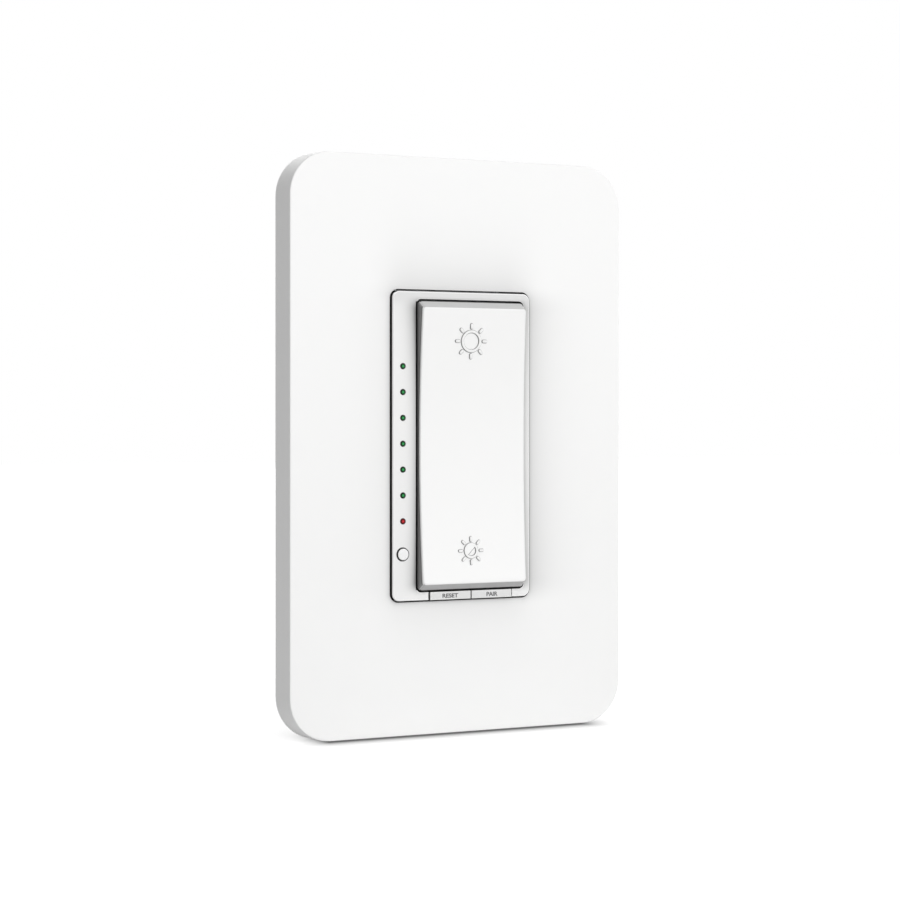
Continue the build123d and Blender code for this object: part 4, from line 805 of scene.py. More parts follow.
@dataclass
class Faceplate:
    """The cover plate and the soft shadow that the device throws on it.

    A line is the narrow dark part of the shadow, and a wash is its broad faint part.
    """

    thickness: float = 7.2
    opening_half_w: float = 17.05
    opening_half_h: float = 33.7
    opening_r: float = 1.95
    fade_in: float = 4.0
    line: Fade = Fade(0.38, 0.45)
    wash: Fade = Fade(0.1, 4.5)
    right_line: Fade = Fade(0.22, 0.35)
    right_wash: Fade = Fade(0.27, 4.0)
    right_ends: float = 0.09
    top_wash: Fade = Fade(0.22, 6.0)
    white: Colour = (0.93, 0.93, 0.926)

    def shade(self, place: Place) -> Value:
        """Painted shade of the opening's walls and painted shadow on the face near the device.

        Args:
            place: Where the surface lies.

        Returns:
            The darkness, from 0 to 1.
        """
        dx = abs(place.x).above(self.opening_half_w - self.opening_r)
        dz = abs(place.z).above(self.opening_half_h - self.opening_r)
        apart = dx.diagonal(dz) - self.opening_r
        right = place.x.ramp(self.opening_half_w - 1.0, self.opening_half_w)
        wall = (apart - 0.08 * (1.0 - right)).ramp(0.06, 0.03)
        wall = wall * place.h.ramp(self.thickness, self.thickness - 0.05)
        # painted shadow on the face round the opening, and painted shade on its walls
        return (self.halo(place, apart.above(0.0)) * place.frontal).at_least(wall)

    def halo(self, place: Place, apart: Value) -> Value:
        """Darkness of the soft shadow round the opening, which is deepest at the right.

        Args:
            place: Where the surface lies.
            apart: Distance from the opening's edge.

        Returns:
            The darkness.
        """
        wide, high = self.opening_half_w, self.opening_half_h
        ends = (place.z * place.z / high**2).math("MINIMUM", 1.0)
        plain = self.line.at(apart) + self.wash.at(apart)
        deep = self.right_wash.at(apart, self.right_ends * ends) + self.right_line.at(apart)
        beside = deep * place.x.ramp(wide - self.fade_in, wide)
        beside = beside + plain * (-place.x).ramp(wide - self.fade_in, wide)
        level = self.top_wash.at(apart) * place.z.ramp(high - self.fade_in, high)
        level = level + plain * (-place.z).ramp(high - self.fade_in, high)
        sides = abs(place.z).ramp(high + 2.0, high - 4.5)
        across = abs(place.x + 0.7).ramp(wide + 6.0, wide - 6.0)
        return beside * sides + level * across

    def build(self) -> None:
        """Build and dress the plate."""
        finish = Moulded("cover plastic", self.white, rim=0.45, shade=self.shade).make()
        casting("wall_plate", Body.FIXED, [finish])
        LOG.info("cover plate dressed")


@dataclass
class DeviceFace:
    """The bezel, its keys, the round button and the row of lights.

    A cast is the shadow beside the rocker, and its growth is what it gains where the rocker rises.
    """

    plate_h: float = 7.2
    face_h: float = 8.0
    window_x: float = 2.05
    window_half_w: float = 13.15
    window_half_h: float = 31.6
    top_z: float = 32.8
    top_dark: float = 0.3
    lip_half_h: float = 31.3
    rocker_half_h: float = 29.75
    left_cast: Fade = Fade(0.6, 0.85)
    left_growth: Fade = Fade(0.3, 0.7)
    left_low_loss: float = 0.4
    right_cast: Fade = Fade(0.5, 0.4)
    right_base: float = 0.09
    right_growth: float = 0.22
    end_cast: float = 0.17
    light_x: float = -14.3
    light_top: float = 17.1
    light_pitch: float = 5.55
    light_r: float = 0.575
    green_lights: int = 6
    tip_h: float = 6.5
    button_x: float = -14.3
    button_z: float = -23.3
    button_hole_r: float = 1.45
    ring_at_right: float = 0.4
    key_left: float = -8.13
    key_right: float = 12.15
    key_end_light: float = 0.25
    white: Colour = (0.872, 0.872, 0.867)
    key_white: Colour = (0.77, 0.77, 0.765)
    button_white: Colour = (0.91, 0.91, 0.905)

    def shade(self, place: Place) -> Value:
        """Painted shade of every wall that faces a narrow gap, and painted shadow on the face close to the
        rocker.
        """
        on_face = self.cast(place).at_least(self.slot(place)).at_least(self.rings(place))
        return self.walls(place).at_least(on_face * place.frontal.ramp(0.9, 0.99))

    def beside(self, place: Place) -> Value:
        """How far a place lies to the left or right of the window."""
        return abs(place.x - self.window_x).above(self.window_half_w)

    def under_window(self, place: Place, soft: float) -> Value:
        """1 in the strip of the keys and 0 above it, with a soft step between."""
        return place.z.ramp(-self.window_half_h, -self.window_half_h - soft)

    def walls(self, place: Place) -> Value:
        """Painted shade of the walls round the bezel and in its window, and of the window's left lip.

        Args:
            place: Where the surface lies.

        Returns:
            The darkness.
        """
        key_end = place.x.ramp(self.key_right - 0.3, self.key_right) * self.under_window(place, 0.1)
        at_top = place.z.ramp(self.top_z, self.top_z + 0.2)
        height = place.h - self.top_dark * at_top + self.key_end_light * key_end
        sunk = height.ramp(self.plate_h + 0.45, self.plate_h + 0.3)
        lip = abs(place.x - self.window_x + self.window_half_w).ramp(0.19, 0.12)
        lip = lip * abs(place.z).ramp(self.lip_half_h, self.lip_half_h - 0.3)
        past = self.beside(place) + abs(place.z).above(self.window_half_h)
        well = past.ramp(0.03, 0.01) * place.h.ramp(self.face_h - 0.06, self.face_h - 0.2)
        # painted shade on the walls of the gaps and on the window's left lip
        return sunk.at_least(well).at_least(lip)

    def cast(self, place: Place) -> Value:
        """Darkness that the rocker casts on the face, wider where it rises towards its ends.

        Args:
            place: Where the surface lies.

        Returns:
            The darkness.
        """
        apart = self.beside(place)
        rise = (place.z * place.z) / self.rocker_half_h**2
        right = place.x.ramp(0.0, 1.0)
        low = place.z.ramp(0.0, -20.0)
        share = self.left_cast.share + self.left_growth.share * rise
        reach = self.left_cast.reach + (self.left_growth.reach - self.left_low_loss * low) * rise
        at_left = apart.fading(share, reach) * (1.0 - right)
        at_right = (self.right_cast.at(apart) + self.right_base + self.right_growth * rise) * right
        at_end = self.end_cast * place.z.ramp(-40.0, 40.0)
        along = abs(place.z).ramp(32.5, 29.5)
        return (at_left + at_right) * along + at_end * (1.0 - along)

    def slot(self, place: Place) -> Value:
        """Painted shade along the fine slot at the left end of the keys."""
        edge = abs(place.x - self.key_left + 0.06).ramp(0.09, 0.04)
        return edge * self.under_window(place, 0.03)

    def rings(self, place: Place) -> Value:
        """Painted shade round the button, mostly at its left, and round each light.

        Args:
            place: Where the surface lies.

        Returns:
            The darkness.
        """
        left = (place.x - self.button_x).ramp(1.3, -1.3)
        apart = place.apart(self.button_x - 0.01, self.button_z) - 0.05 * left
        share = self.ring_at_right + (1.0 - self.ring_at_right) * left
        button = apart.ramp(self.button_hole_r + 0.1, self.button_hole_r + 0.05) * share
        apart = place.apart_from_row(self.light_x - 0.01, self.light_top, self.light_pitch)
        in_row = abs(place.z).ramp(self.light_top + 1.0, self.light_top + 0.9)
        light = apart.ramp(self.light_r + 0.15, self.light_r + 0.08) * in_row
        return button.at_least(light)

    def sunk(self, place: Place) -> Value:
        """Painted shade of a key's walls below the face."""
        return place.h.ramp(self.face_h + 0.02, self.face_h - 0.08)

    def button_sunk(self, place: Place) -> Value:
        """Painted shade of the button's wall."""
        return place.h.ramp(self.face_h + 0.18, self.face_h + 0.06)

    def guide(self) -> None:
        """Dress the clear light guide, whose tips are the lights."""
        red_below = self.light_top - (self.green_lights - 0.5) * self.light_pitch
        tips = Lights("light tips", self.light_x, self.light_top, self.light_pitch, red_below, self.light_r)
        finishes = [Glass("clear guide").make(), tips.make()]
        casting("light_guide", Body.FIXED, finishes, lambda at: int(-at.y > self.tip_h))

    def build(self) -> None:
        """Build and dress the pieces of the face."""
        face = Moulded("face plastic", self.white, rim=1.0, shade=self.shade).make()
        casting("bezel", Body.FIXED, [face])
        key = Moulded("key plastic", self.key_white, rim=0.5, shade=self.sunk).make()
        casting("reset_key", Body.RESET_KEY, [key])
        casting("pair_key", Body.PAIR_KEY, [key])
        button = Moulded("button plastic", self.button_white, rim=0.5, shade=self.button_sunk).make()
        casting("program_button", Body.BUTTON, [button])
        self.guide()
        LOG.info("device face dressed")


@dataclass
class Paddle:
    """The rocker with its hollow face, and the raised signs on it."""

    face_half_h: float = 29.75
    mid_h: float = 9.05
    end_h: float = 10.35
    bezel_h: float = 8.0
    relief: float = 0.28
    # width and height of the grey sheets of painted shadow round the signs' feet
    shadow_line_w: float = 0.12
    shadow_line_relief: float = 0.012
    flank_dark: float = 0.68
    slope_dark: float = 0.53
    edge_dark: float = 0.36
    sign_dark: float = 0.66
    white: Colour = (0.93, 0.93, 0.925)
    # grey of the sheets of painted shadow round the signs' feet
    line: Colour = (0.44, 0.44, 0.44)

    def level(self, z: "float | Value") -> "float | Value":
        """Height of the hollow face at a place along it."""
        share = z / self.face_half_h
        return share * share * (self.end_h - self.mid_h) + self.mid_h

    def shade(self, place: Place) -> Value:
        """Painted shade of the walls in the bezel's well, and of the sides and ends above it.

        Args:
            place: Where the surface lies.

        Returns:
            The darkness, from 0 to 1.
        """
        aside = place.sideways.ramp(0.5, 0.8)
        ends = place.upright.ramp(0.45, 0.7)
        top = place.z.ramp(-5.0, 5.0)
        gap = (place.h + 0.6 * aside - 0.12 * ends).ramp(self.bezel_h + 0.42, self.bezel_h + 0.3)
        below = self.level(place.z) - place.h
        flank = aside * (self.flank_dark + 0.12 * below.ramp(1.0, 0.7)) * below.ramp(0.44, 0.54)
        slope = ends * (self.slope_dark - 0.12 * top) * (below + 0.12 * top).ramp(0.14, 0.26)
        edge = self.edge_dark * place.sideways.ramp(0.12, 0.4) * place.x.ramp(0.0, 1.0) * (1.0 - aside)
        # painted shade on the rocker's gap walls, flanks, end slopes and right edge
        return gap.at_least(flank).at_least(slope).at_least(edge)

    def sign_shade(self, place: Place) -> Value:
        """Painted shade of the upright walls of the raised signs."""
        above = place.h - self.level(place.z)
        return above.ramp(self.relief * 0.95, self.relief * 0.6) * self.sign_dark

    def signs(self) -> tuple["Sign", "Sign"]:
        """Size the two raised signs.

        Returns:
            The sign for brighter at the top and the one for dimmer at the foot.
        """
        bright = Sign(
            "bright_sign", (1.2, 22.6), inner=1.85, outer=2.4, ray_in=2.65, ray_out=3.85, ray_w=0.6,
            half_filled=False, relief=self.relief,
        )
        dim = Sign(
            "dim_sign", (1.15, -22.8), inner=1.15, outer=1.675, ray_in=1.95, ray_out=3.06, ray_w=0.5,
            half_filled=True, relief=self.relief,
        )
        return bright, dim

    def build(self) -> None:
        """Build and dress the rocker."""
        finish = Moulded("rocker plastic", self.white, rim=0.6, shade=self.shade).make()
        casting("rocker", Body.ROCKER, [finish])
        raised = Moulded("sign plastic", self.white, shade=self.sign_shade).make()
        # thin grey sheets of painted shadow round the feet of the signs
        line = Moulded("painted sign shadow", self.line, relief_mm=0.001).make()
        for sign in self.signs():
            sign.build(self.level, raised)
            outline = replace(sign, name=f"{sign.name}_line", relief=self.shadow_line_relief, spread=self.shadow_line_w)
            outline.build(self.level, line)
        LOG.info("rocker dressed")


@dataclass(frozen=True)
class Sign:
    """A raised sun sign, or the thin grey sheet of painted shadow round its foot.

    Attributes:
        name: The sign's name.
        at: Its centre, to the right and up.
        inner: Inner radius of the ring.
        outer: Outer radius of the ring.
        ray_in: Where the rays start.
        ray_out: Where the rays end.
        ray_w: Width of a ray.
        half_filled: Whether the upper left half of the ring is filled.
        relief: How far it stands up.
        spread: How much larger than its plain outline it is all round.
        rays: Number of rays.
    """

    name: str
    at: tuple[float, float]
    inner: float
    outer: float
    ray_in: float
    ray_out: float
    ray_w: float
    half_filled: bool
    relief: float
    spread: float = 0.0
    rays: int = 8

    @property
    def soft(self) -> float:
        """Radius of the soft upper edges."""
        return self.relief * 0.45

    def build(self, level: Callable[[float], float], material: bpy.types.Material) -> None:
        """Raise the sign on a face.

        Args:
            level: Height of the face at a place along it.
            material: The sign's finish.
        """
        bm = bmesh.new()
        turned_ring(bm, self.inner - self.spread, self.outer + self.spread, self.relief, self.soft)
        length = self.ray_out - self.ray_in + 2 * self.spread
        width = self.ray_w + 2 * self.spread
        for index in range(self.rays):
            turn = Matrix.Rotation(index * math.tau / self.rays, 4, "Y")
            place = turn @ Matrix.Translation(((self.ray_in + self.ray_out) / 2, 0, 0))
            round_bar(bm, length, width, place, self.relief, min(self.soft, width * 0.2))
        if self.half_filled:
            self.half_disc(bm)
        place = Matrix.Translation((self.at[0], 0.0, self.at[1]))
        bmesh.ops.transform(bm, matrix=place, verts=bm.verts)
        for vert in bm.verts:
            vert.co.y -= level(vert.co.z)
        rescale(bm, MM)
        made = piece_from(bm, self.name, Body.ROCKER, 60.0)
        made.data.materials.append(material)

    def half_disc(self, bm: bmesh.types.BMesh) -> None:
        """Fill the upper left half of the ring.

        Args:
            bm: The mesh that the half disc joins.
        """
        part = bmesh.new()
        bmesh.ops.create_circle(part, cap_ends=True, segments=64, radius=self.inner + 0.1)
        bmesh.ops.transform(part, matrix=Matrix.Rotation(math.pi / 2, 4, "X"), verts=part.verts)
        geom = [*part.verts, *part.edges, *part.faces]
        past = 2.2 * self.spread * math.sqrt(0.5)
        corner, normal = (past, 0, -past), (1, 0, -1)
        bmesh.ops.bisect_plane(part, geom=geom, plane_co=corner, plane_no=normal, clear_outer=True)
        raise_outline(bm, part, self.relief, self.soft * 0.8)


def join(bm: bmesh.types.BMesh, part: bmesh.types.BMesh) -> None:
    """Add one mesh to another and free it.

    Args:
        bm: The mesh that grows.
        part: The mesh that is added.
    """
    carrier = bpy.data.meshes.new("carrier")
    part.to_mesh(carrier)
    part.free()
    bm.from_mesh(carrier)
    bpy.data.meshes.remove(carrier)


def raise_outline(bm: bmesh.types.BMesh, part: bmesh.types.BMesh, relief: float, soft: float) -> None:
    """Pull a flat outline out of the plane Y = 0 towards -Y, soften its upper edges and join it.

    Args:
        bm: The mesh that it joins.
        part: The flat outline, which is freed.
        relief: How far it stands out.
        soft: Radius of the upper edges.
    """
    bmesh.ops.translate(part, vec=(0, ROOT, 0), verts=part.verts)
    top = bmesh.ops.extrude_face_region(part, geom=list(part.faces))["geom"]
    raised = [item for item in top if isinstance(item, bmesh.types.BMVert)]
    bmesh.ops.translate(part, vec=(0, -ROOT - relief, 0), verts=raised)
    lid = [item for item in top if isinstance(item, bmesh.types.BMFace)]
    rim = list({edge for face in lid for edge in face.edges})
    bmesh.ops.bevel(part, geom=rim, offset=soft, segments=3, profile=0.5, affect="EDGES", material=-1)
    bmesh.ops.recalc_face_normals(part, faces=part.faces)
    join(bm, part)


def round_bar(
    bm: bmesh.types.BMesh, length: float, width: float, place: Matrix, relief: float, soft: float
) -> None:
    """Raise one round-ended bar.

    Args:
        bm: The mesh that the bar joins.
        length: Its whole length.
        width: Its width.
        place: Where its middle goes, with the bar along X and the plane of its foot at Y = 0.
        relief: How far it stands out.
        soft: Radius of the upper edges.
    """
    part = bmesh.new()
    made = bmesh.ops.create_grid(part, x_segments=1, y_segments=1, size=0.5)["verts"]
    flat = Matrix.Rotation(math.pi / 2, 4, "X") @ Matrix.Diagonal((length, width, 1, 1))
    bmesh.ops.transform(part, matrix=place @ flat, verts=made)
    round_r = width * 0.49
    bmesh.ops.bevel(
        part, geom=list(part.verts), offset=round_r, segments=6, profile=0.5, affect="VERTICES", material=-1
    )
    raise_outline(bm, part, relief, soft)


def turned_ring(bm: bmesh.types.BMesh, inner: float, outer: float, relief: float, soft: float) -> None:
    """Turn a soft-edged profile into a flat ring round the Y axis, and join it.

    Args:
        bm: The mesh that the ring joins.
        inner: Inner radius.
        outer: Outer radius.
        relief: How far it stands out.
        soft: Radius of the upper edges.
    """
    part = bmesh.new()
    made = bmesh.ops.create_grid(part, x_segments=1, y_segments=1, size=0.5)["verts"]
    place = Matrix.Translation(((inner + outer) / 2, (ROOT - relief) / 2, 0))
    shape = Matrix.Diagonal((outer - inner, relief + ROOT, 1, 1))
    bmesh.ops.transform(part, matrix=place @ shape, verts=made)
    tops = [vert for vert in made if vert.co.y < -relief / 2]
    bmesh.ops.bevel(part, geom=tops, offset=soft, segments=4, profile=0.5, affect="VERTICES", material=-1)
    geom = [*part.verts, *part.edges, *part.faces]
    bmesh.ops.spin(part, geom=geom, cent=(0, 0, 0), axis=(0, 1, 0), angle=math.tau, steps=72, use_merge=True)
    inside = [face for face in part.faces if all(abs(vert.co.z) < 1e-7 for vert in face.verts)]
    bmesh.ops.delete(part, geom=inside, context="FACES_ONLY")
    bmesh.ops.remove_doubles(part, verts=part.verts, dist=1e-6)
    bmesh.ops.recalc_face_normals(part, faces=part.faces)
    join(bm, part)


@dataclass
class KeyWords:
    """The two words printed on the keys."""

    face_h: float = 8.25
    ink_t: float = 0.02
    letter_h: float = 0.93
    top_z: float = -32.05
    weight: float = 0.035
    ink: Colour = (0.1, 0.1, 0.105)

    def letters(self, text: str) -> bmesh.types.BMesh:
        """Make a word's letters, lying flat and not yet to size.

        Args:
            text: The word.

        Returns:
            The letters.
        """
        curve = bpy.data.curves.new(f"word_{text}", "FONT")
        curve.body = text
        curve.size = 1.0
        curve.extrude = self.ink_t / 2
        curve.offset = self.weight
        holder = add_object(f"word_{text}_curve", curve)
        graph = bpy.context.evaluated_depsgraph_get()
        mesh = bpy.data.meshes.new_from_object(holder.evaluated_get(graph))
        bpy.data.objects.remove(holder)
        bm = bmesh.new()
        bm.from_mesh(mesh)
        bpy.data.meshes.remove(mesh)
        return bm

    def word(self, text: str, span: tuple[float, float], body: Body, material: bpy.types.Material) -> None:
        """Print a word between two places on a key.

        Args:
            text: The word.
            span: Where it starts and ends.
            body: The key that carries it.
            material: Its ink.
        """
        bm = self.letters(text)
        xs = [vert.co.x for vert in bm.verts]
        ys = [vert.co.y for vert in bm.verts]
        scale_x = (span[1] - span[0]) / (max(xs) - min(xs))
        scale_y = self.letter_h / (max(ys) - min(ys))
        fit = Matrix.Diagonal((scale_x, scale_y, 1, 1)) @ Matrix.Translation((-min(xs), -max(ys), 0))
        stand = Matrix.Translation((span[0], -self.face_h, self.top_z)) @ Matrix.Rotation(math.pi / 2, 4, "X")
        bmesh.ops.transform(bm, matrix=Matrix.Scale(MM, 4) @ stand @ fit, verts=bm.verts)
        bmesh.ops.remove_doubles(bm, verts=bm.verts, dist=1e-7)
        made = piece_from(bm, f"word_{text.lower()}", body)
        made.data.materials.append(material)

    def build(self) -> None:
        """Print both words."""
        ink = Moulded("grey ink", self.ink, roughness=0.5, mottle=0.05, relief_mm=0.001).make()
        self.word("RESET", (-4.95, -1.15), Body.RESET_KEY, ink)
        self.word("PAIR", (5.8, 8.55), Body.PAIR_KEY, ink)
        LOG.info("words printed")


@dataclass
class BoxScrews:
    """The two captive screws, with a cut thread in place of the plain shank."""

    spacing: float = 83.3
    start: float = 0.1
    end: float = 24.0
    outer: float = 1.75
    core: float = 1.36
    sink: float = 0.06
    pitch: float = 0.794
    tip: float = 0.55
    steps: int = 20

    def core_bar(self, bm: bmesh.types.BMesh, z: float) -> None:
        """Add the shank between the threads, with a chamfered tip.

        Args:
            bm: The mesh that it joins.
            z: Height of the screw's axis.
        """
        part = bmesh.new()
        bmesh.ops.create_cone(
            part, cap_ends=True, segments=32, radius1=self.core, radius2=self.core, depth=self.end
        )
        stand = Matrix.Translation((0, self.end / 2, z)) @ Matrix.Rotation(-math.pi / 2, 4, "X")
        bmesh.ops.transform(part, matrix=stand, verts=part.verts)
        far = [edge for edge in part.edges if all(vert.co.y > self.end - 1e-4 for vert in edge.verts)]
        bmesh.ops.bevel(part, geom=far, offset=self.tip, segments=1, profile=0.5, affect="EDGES", material=-1)
        join(bm, part)

    def ridge(self, bm: bmesh.types.BMesh, z: float) -> None:
        """Wind the thread's ridge round the shank.

        Args:
            bm: The mesh that it joins.
            z: Height of the screw's axis.
        """
        part = bmesh.new()
        bmesh.ops.create_circle(part, cap_ends=True, segments=3, radius=1.0)
        root = self.core - self.sink
        height = self.outer - root
        size = Matrix.Diagonal((height / 1.5, 0.5 * self.pitch, 1, 1))  # the plain triangle is 1.5 high
        shape = size @ Matrix.Rotation(-math.pi / 2, 4, "Z")
        place = Matrix.Translation((root + height / 3, self.start + self.pitch / 2, z))
        bmesh.ops.transform(part, matrix=place @ shape, verts=part.verts)
        turns = int((self.end - self.start - self.tip - self.pitch) / self.pitch)
        geom = [*part.verts, *part.edges, *part.faces]
        step, steps = (0, self.pitch / self.steps, 0), self.steps * turns
        bmesh.ops.spin(
            part, geom=geom, cent=(0, 0, z), axis=(0, 1, 0), dvec=step, angle=math.tau * turns, steps=steps
        )
        bmesh.ops.recalc_face_normals(part, faces=part.faces)
        join(bm, part)

    def build(self) -> None:
        """Build and dress both screws."""
        bm = merged_copy("box_screws")
        rescale(bm, 1 / MM)
        cut_away(bm, (0, self.start, 0), (0, 1, 0), outer=True)
        for z in (self.spacing / 2, -self.spacing / 2):
            self.core_bar(bm, z)
            self.ridge(bm, z)
        rescale(bm, MM)
        made = piece_from(bm, "threaded_box_screws", Body.FIXED, 30.0)
        zinc = BareMetal("screw zinc", (0.68, 0.68, 0.69), grain=(3.0, 3.0, 3.0), tarnish=0.15)
        made.data.materials.append(zinc.make())
        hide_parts("box_screws")
        LOG.info("box screws threaded")


@dataclass
class LeafSpring:
    """The strip that centres the paddle, as two halves with their arms cut into short steps."""

    seat_half_l: float = 3.5
    foot_l: float = 2.4
    bend_step: float = 1.0

    def half(self, side: int, name: str, material: bpy.types.Material) -> None:
        """Build the half of the strip on one side of its screw.

        Args:
            side: 1 for the upper half and -1 for the lower one.
            name: The piece's name.
            material: Its finish.
        """
        bm = merged_copy("return_spring")
        rescale(bm, 1 / MM)
        cut_away(bm, (0, 0, 0), (0, 0, side), outer=False)
        low, high = (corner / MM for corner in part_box("return_spring"))
        foot = high.z - self.foot_l
        for step in range(1, int((foot - self.seat_half_l) / self.bend_step)):
            level = (0, 0, side * (self.seat_half_l + step * self.bend_step))
            geom = [*bm.verts, *bm.edges, *bm.faces]
            bmesh.ops.bisect_plane(bm, geom=geom, plane_co=level, plane_no=(0, 0, 1))
        rescale(bm, MM)
        made = piece_from(bm, name, None, 10.0)
        made.data.materials.append(material)
        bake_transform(made)
        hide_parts("return_spring")

    def build(self) -> None:
        """Build and dress both halves."""
        material = BareMetal("spring strip", (0.62, 0.62, 0.63), grain=(1.0, 8.0, 0.2), tarnish=0.2).make()
        self.half(1, "spring_upper_arm", material)
        self.half(-1, "spring_lower_arm", material)
        LOG.info("leaf spring bent")


@dataclass
class BackMarks:
    """The moulded marks in the sunk panel of the housing's back: pin marks and a stripping gauge."""

    floor_y: float = 35.6
    relief: float = 0.22
    soft: float = 0.07
    pin_x: float = 6.8
    pin_z: float = 20.2
    pin_r: float = 1.9
    line: float = 0.4
    gauge_z: float = -8.0
    gauge_l: float = 15.0
    tick_l: float = 4.0
    black: Colour = (0.04, 0.04, 0.042)

    def build(self) -> None:
        """Build and dress the marks."""
        bm = bmesh.new()
        for x in (self.pin_x, -self.pin_x):
            for z in (self.pin_z, -self.pin_z):
                part = bmesh.new()
                turned_ring(part, self.pin_r - self.line, self.pin_r, self.relief, self.soft)
                bmesh.ops.translate(part, vec=(x, 0, z), verts=part.verts)
                join(bm, part)
        level = Matrix.Translation((0, 0, self.gauge_z))
        round_bar(bm, self.gauge_l, 2 * self.line, level, self.relief, self.soft)
        for x in (self.gauge_l / 2, -self.gauge_l / 2):
            tick = Matrix.Translation((x, 0, self.gauge_z)) @ Matrix.Rotation(math.pi / 2, 4, "Y")
            round_bar(bm, self.tick_l, 2 * self.line, tick, self.relief, self.soft)
        stand = Matrix.Translation((0, self.floor_y, 0)) @ Matrix.Rotation(math.pi, 4, "Z")
        bmesh.ops.transform(bm, matrix=Matrix.Scale(MM, 4) @ stand, verts=bm.verts)
        made = piece_from(bm, "back_marks", Body.FIXED, 60.0)
        finish = Moulded("mark plastic", self.black, roughness=0.42, grain_per_mm=3.0)
        made.data.materials.append(finish.make())
        LOG.info("back marked")


@dataclass
class Workings:
    """Everything behind the face, each node in its own finish."""

    finishes: dict[str, Finish] = field(default_factory=lambda: {
        "sub_plate": Moulded("carrier plastic", (0.84, 0.84, 0.83), roughness=0.45),
        "mounting_strap": Galvanised("galvanised sheet", (0.62, 0.63, 0.64)),
        "zinc": BareMetal("zinc plating", (0.68, 0.68, 0.69), grain=(3.0, 3.0, 3.0), tarnish=0.15),
        "ground_screw": BareMetal("green plating", (0.03, 0.3, 0.1), roughness=0.38, tarnish=0.3),
        "rear_housing": Moulded(
            "housing plastic", (0.028, 0.028, 0.03), 0.48, grain_per_mm=3.0, relief_mm=0.012
        ),
        "switch_deck": Moulded("deck plastic", (0.022, 0.022, 0.024), 0.5, grain_per_mm=3.0, relief_mm=0.01),
        "board": Laminate("board laminate"),
        "component": Moulded(
            "moulding compound", (0.018, 0.018, 0.02), 0.42, grain_per_mm=6.0, relief_mm=0.006
        ),
        "radio_module": BareMetal("tinned can", (0.74, 0.73, 0.7), roughness=0.3, tarnish=0.12),
        "heat_sink": BareMetal("mill aluminium", (0.76, 0.77, 0.78), grain=(6.0, 0.4, 6.0), tarnish=0.12),
        "insulating_pads": Moulded("pad rubber", (0.36, 0.37, 0.4), roughness=0.7, relief_mm=0.01),
        "supply_transformer": Moulded("core ferrite", (0.035, 0.035, 0.04), roughness=0.55, grain_per_mm=8.0),
        "line_choke": Wound("wound copper", 7.0, 11.0),
        "bulk_capacitor": Banded("capacitor sleeve", (0.02, 0.025, 0.06), (0.6, 0.6, 0.58), -10.4, 0.9),
        "film_capacitor": Moulded("film case", (0.62, 0.44, 0.03), roughness=0.3),
        "varistor": Moulded("varistor coat", (0.02, 0.09, 0.36), 0.22, grain_per_mm=1.0, relief_mm=0.02),
        "fuse": Glass("fuse tube"),
        "green_leds": Moulded("green chips", (0.35, 0.6, 0.3), roughness=0.25),
        "red_led": Moulded("red chip", (0.6, 0.2, 0.18), roughness=0.25),
        "brass": BareMetal("terminal brass", (0.72, 0.5, 0.2), grain=(3.0, 3.0, 3.0), tarnish=0.3),
    })
    families: dict[str, tuple[str, ...]] = field(default_factory=lambda: {
        "zinc": ("sub_plate_screws", "housing_screws", "transistor_screws", "spring_screw"),
        "board": ("control_board", "main_board", "riser_board"),
        "component": (
            "riser_headers", "up_switch", "down_switch", "reset_switch", "pair_switch", "program_switch",
            "power_transistors",
        ),
        "brass": ("saddle_plates", "clamp_plates", "terminal_screws"),
    })

    def build(self) -> None:
        """Give each node its finish."""
        for name, finish in self.finishes.items():
            material = finish.make()
            for node in self.families.get(name, (name,)):
                dress(node, material)
        LOG.info("workings dressed")


@dataclass(frozen=True)
class Lamp:
    """A soft square lamp that looks at the object.

    Attributes:
        name: The lamp's name.
        at: Its place in metres.
        size: Its side in metres.
        strength: What it adds to a white surface that faces it.
    """

    name: str
    at: Triple
    size: float
    strength: float

    def hang(self) -> None:
        """Add the lamp to the scene."""
        data = bpy.data.lights.new(self.name, "AREA")
        data.size = self.size
        data.energy = self.strength * math.pi**2 * Vector(self.at).length_squared
        holder = add_object(self.name, data)
        holder.location = self.at
        holder.rotation_euler = (-Vector(self.at)).to_track_quat("-Z", "Y").to_euler()


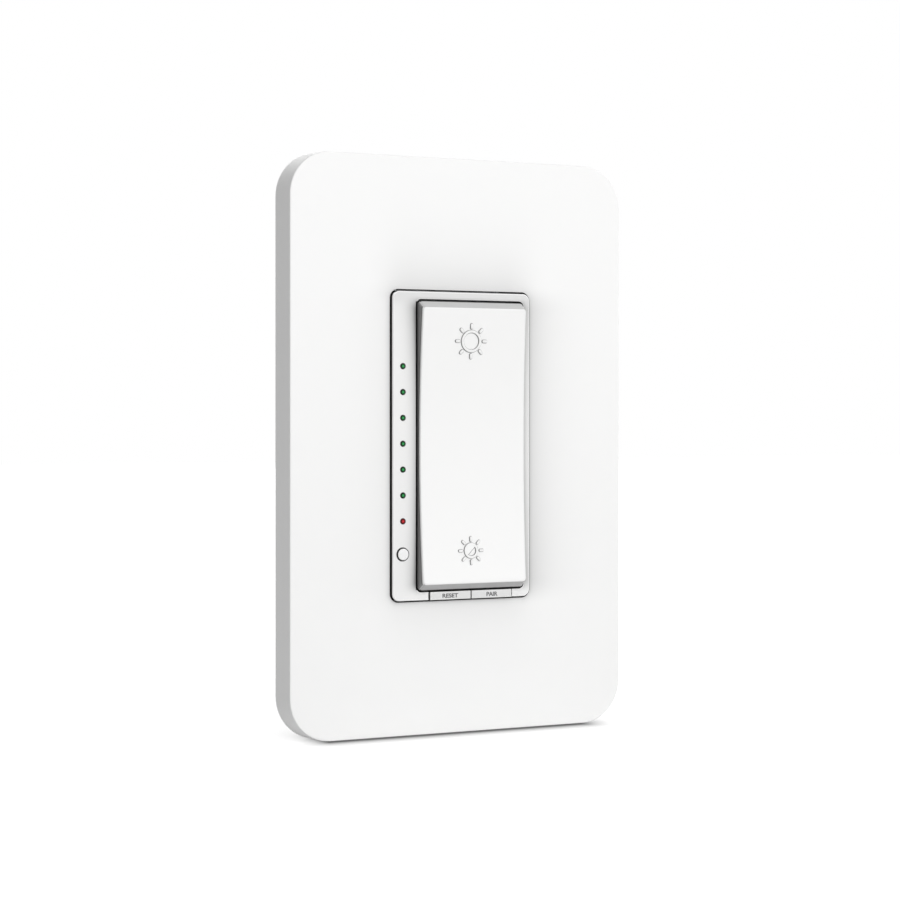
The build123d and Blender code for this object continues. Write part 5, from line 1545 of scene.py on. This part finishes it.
@dataclass
class Studio:
    """Floor, backdrop, lamps and camera."""

    floor_z: float = -62.7
    floor_half: float = 2.5
    turn_deg: float = 26.8
    distance: float = 486.7
    aside: float = -0.93
    eye_z: float = 6.95
    focal: float = 88.2
    rise: float = -0.0406
    ambient: float = 0.34
    glow: float = 0.75
    pale: Colour = (0.8, 0.8, 0.8)
    foot_half_w: float = 31.0
    foot_depth: float = 7.0
    contact: Fade = Fade(0.85, 5.0)
    left_squeeze: float = 1.1
    lamps: tuple[Lamp, ...] = (
        Lamp("key", (0.95, -2.5, 0.6), 1.7, 0.6),
        Lamp("top", (0.2, -0.3, 1.5), 1.0, 0.2),
        Lamp("back", (0.5, 2.0, 0.8), 1.4, 0.12),
    )

    def camera(self) -> None:
        """Set the camera at the photo's viewing angle."""
        turn = math.radians(self.turn_deg)
        right = Vector((math.cos(turn), -math.sin(turn), 0))
        forward = Vector((math.sin(turn), math.cos(turn), 0))
        lens = bpy.data.cameras.new("camera")
        lens.lens = self.focal
        lens.sensor_width = 36.0
        lens.shift_y = self.rise
        lens.clip_start = 0.01
        holder = add_object("camera", lens)
        holder.location = (right * -self.aside - forward * self.distance + Vector((0, 0, self.eye_z))) * MM
        holder.rotation_euler = (math.pi / 2, 0, -turn)
        bpy.context.scene.camera = holder

    def world(self) -> None:
        """Make the backdrop white to the eye and softer as a light."""
        shader = Shader("studio", bpy.data.worlds.new("studio"))
        inputs = {"Color": WHITE, "Strength": self.ambient + (1.0 - self.ambient) * shader.seen()}
        back = shader.node("ShaderNodeBackground", None, inputs)
        shader.node("ShaderNodeOutputWorld", None, {0: back.outputs[0]})
        bpy.context.scene.world = shader.owner

    def near_foot(self, place: Place) -> Value:
        """Darkness of the contact shadow round the plate's foot, shorter at its left.

        Args:
            place: Where the floor lies.

        Returns:
            The darkness.
        """
        left = (-place.x).ramp(self.foot_half_w - 2.0, self.foot_half_w + 2.0) * place.h.ramp(8.5, 3.5)
        dx = abs(place.x).above(self.foot_half_w) * (1.0 + self.left_squeeze * left)
        dy = abs(place.h - self.foot_depth / 2).above(self.foot_depth / 2)
        return self.contact.at(dx.diagonal(dy))

    def floor_finish(self) -> bpy.types.Material:
        """Make the finish of a floor that is white to the eye, with a painted contact shadow, and plain as a
        light.

        Returns:
            The finished material.
        """
        shader = Shader("floor")
        # painted contact shadow at the plate's foot
        near = self.near_foot(shader.place())
        plain = shader.node("ShaderNodeBsdfDiffuse", None, {"Color": self.pale})
        shaded = shader.node("ShaderNodeBsdfDiffuse", None, {"Color": shader.blend(near, self.pale, BLACK)})
        inputs = {"Color": shader.blend(near, WHITE, BLACK), "Strength": self.glow}
        glow = shader.node("ShaderNodeEmission", None, inputs)
        both = shader.node("ShaderNodeAddShader", None, {0: shaded.outputs[0], 1: glow.outputs[0]})
        inputs = {0: shader.seen(), 1: plain.outputs[0], 2: both.outputs[0]}
        return shader.close(shader.node("ShaderNodeMixShader", None, inputs))

    def floor(self) -> None:
        """Lay the pale floor, which shows only the painted contact shadow."""
        bm = bmesh.new()
        bmesh.ops.create_grid(bm, x_segments=1, y_segments=1, size=self.floor_half)
        bmesh.ops.translate(bm, vec=(0, 0, self.floor_z * MM), verts=bm.verts)
        mesh = bpy.data.meshes.new("floor")
        bm.to_mesh(mesh)
        bm.free()
        mesh.materials.append(self.floor_finish())
        sheet = add_object("floor", mesh)

    def build(self) -> None:
        """Set up the studio."""
        self.camera()
        self.world()
        self.floor()
        for lamp in self.lamps:
            lamp.hang()
        view = bpy.context.scene.view_settings
        view.view_transform = "Standard"
        LOG.info("studio set")


def main() -> None:
    """Build every piece, behind the face and in front of it, and set up the studio."""
    logging.basicConfig(level=logging.INFO, format="%(message)s")
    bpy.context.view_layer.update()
    behind = (Workings(), BoxScrews(), LeafSpring(), BackMarks())
    in_front = (Faceplate(), DeviceFace(), Paddle(), KeyWords())
    for group in (*behind, *in_front, Studio()):
        group.build()


if __name__ == "__main__":
    main()
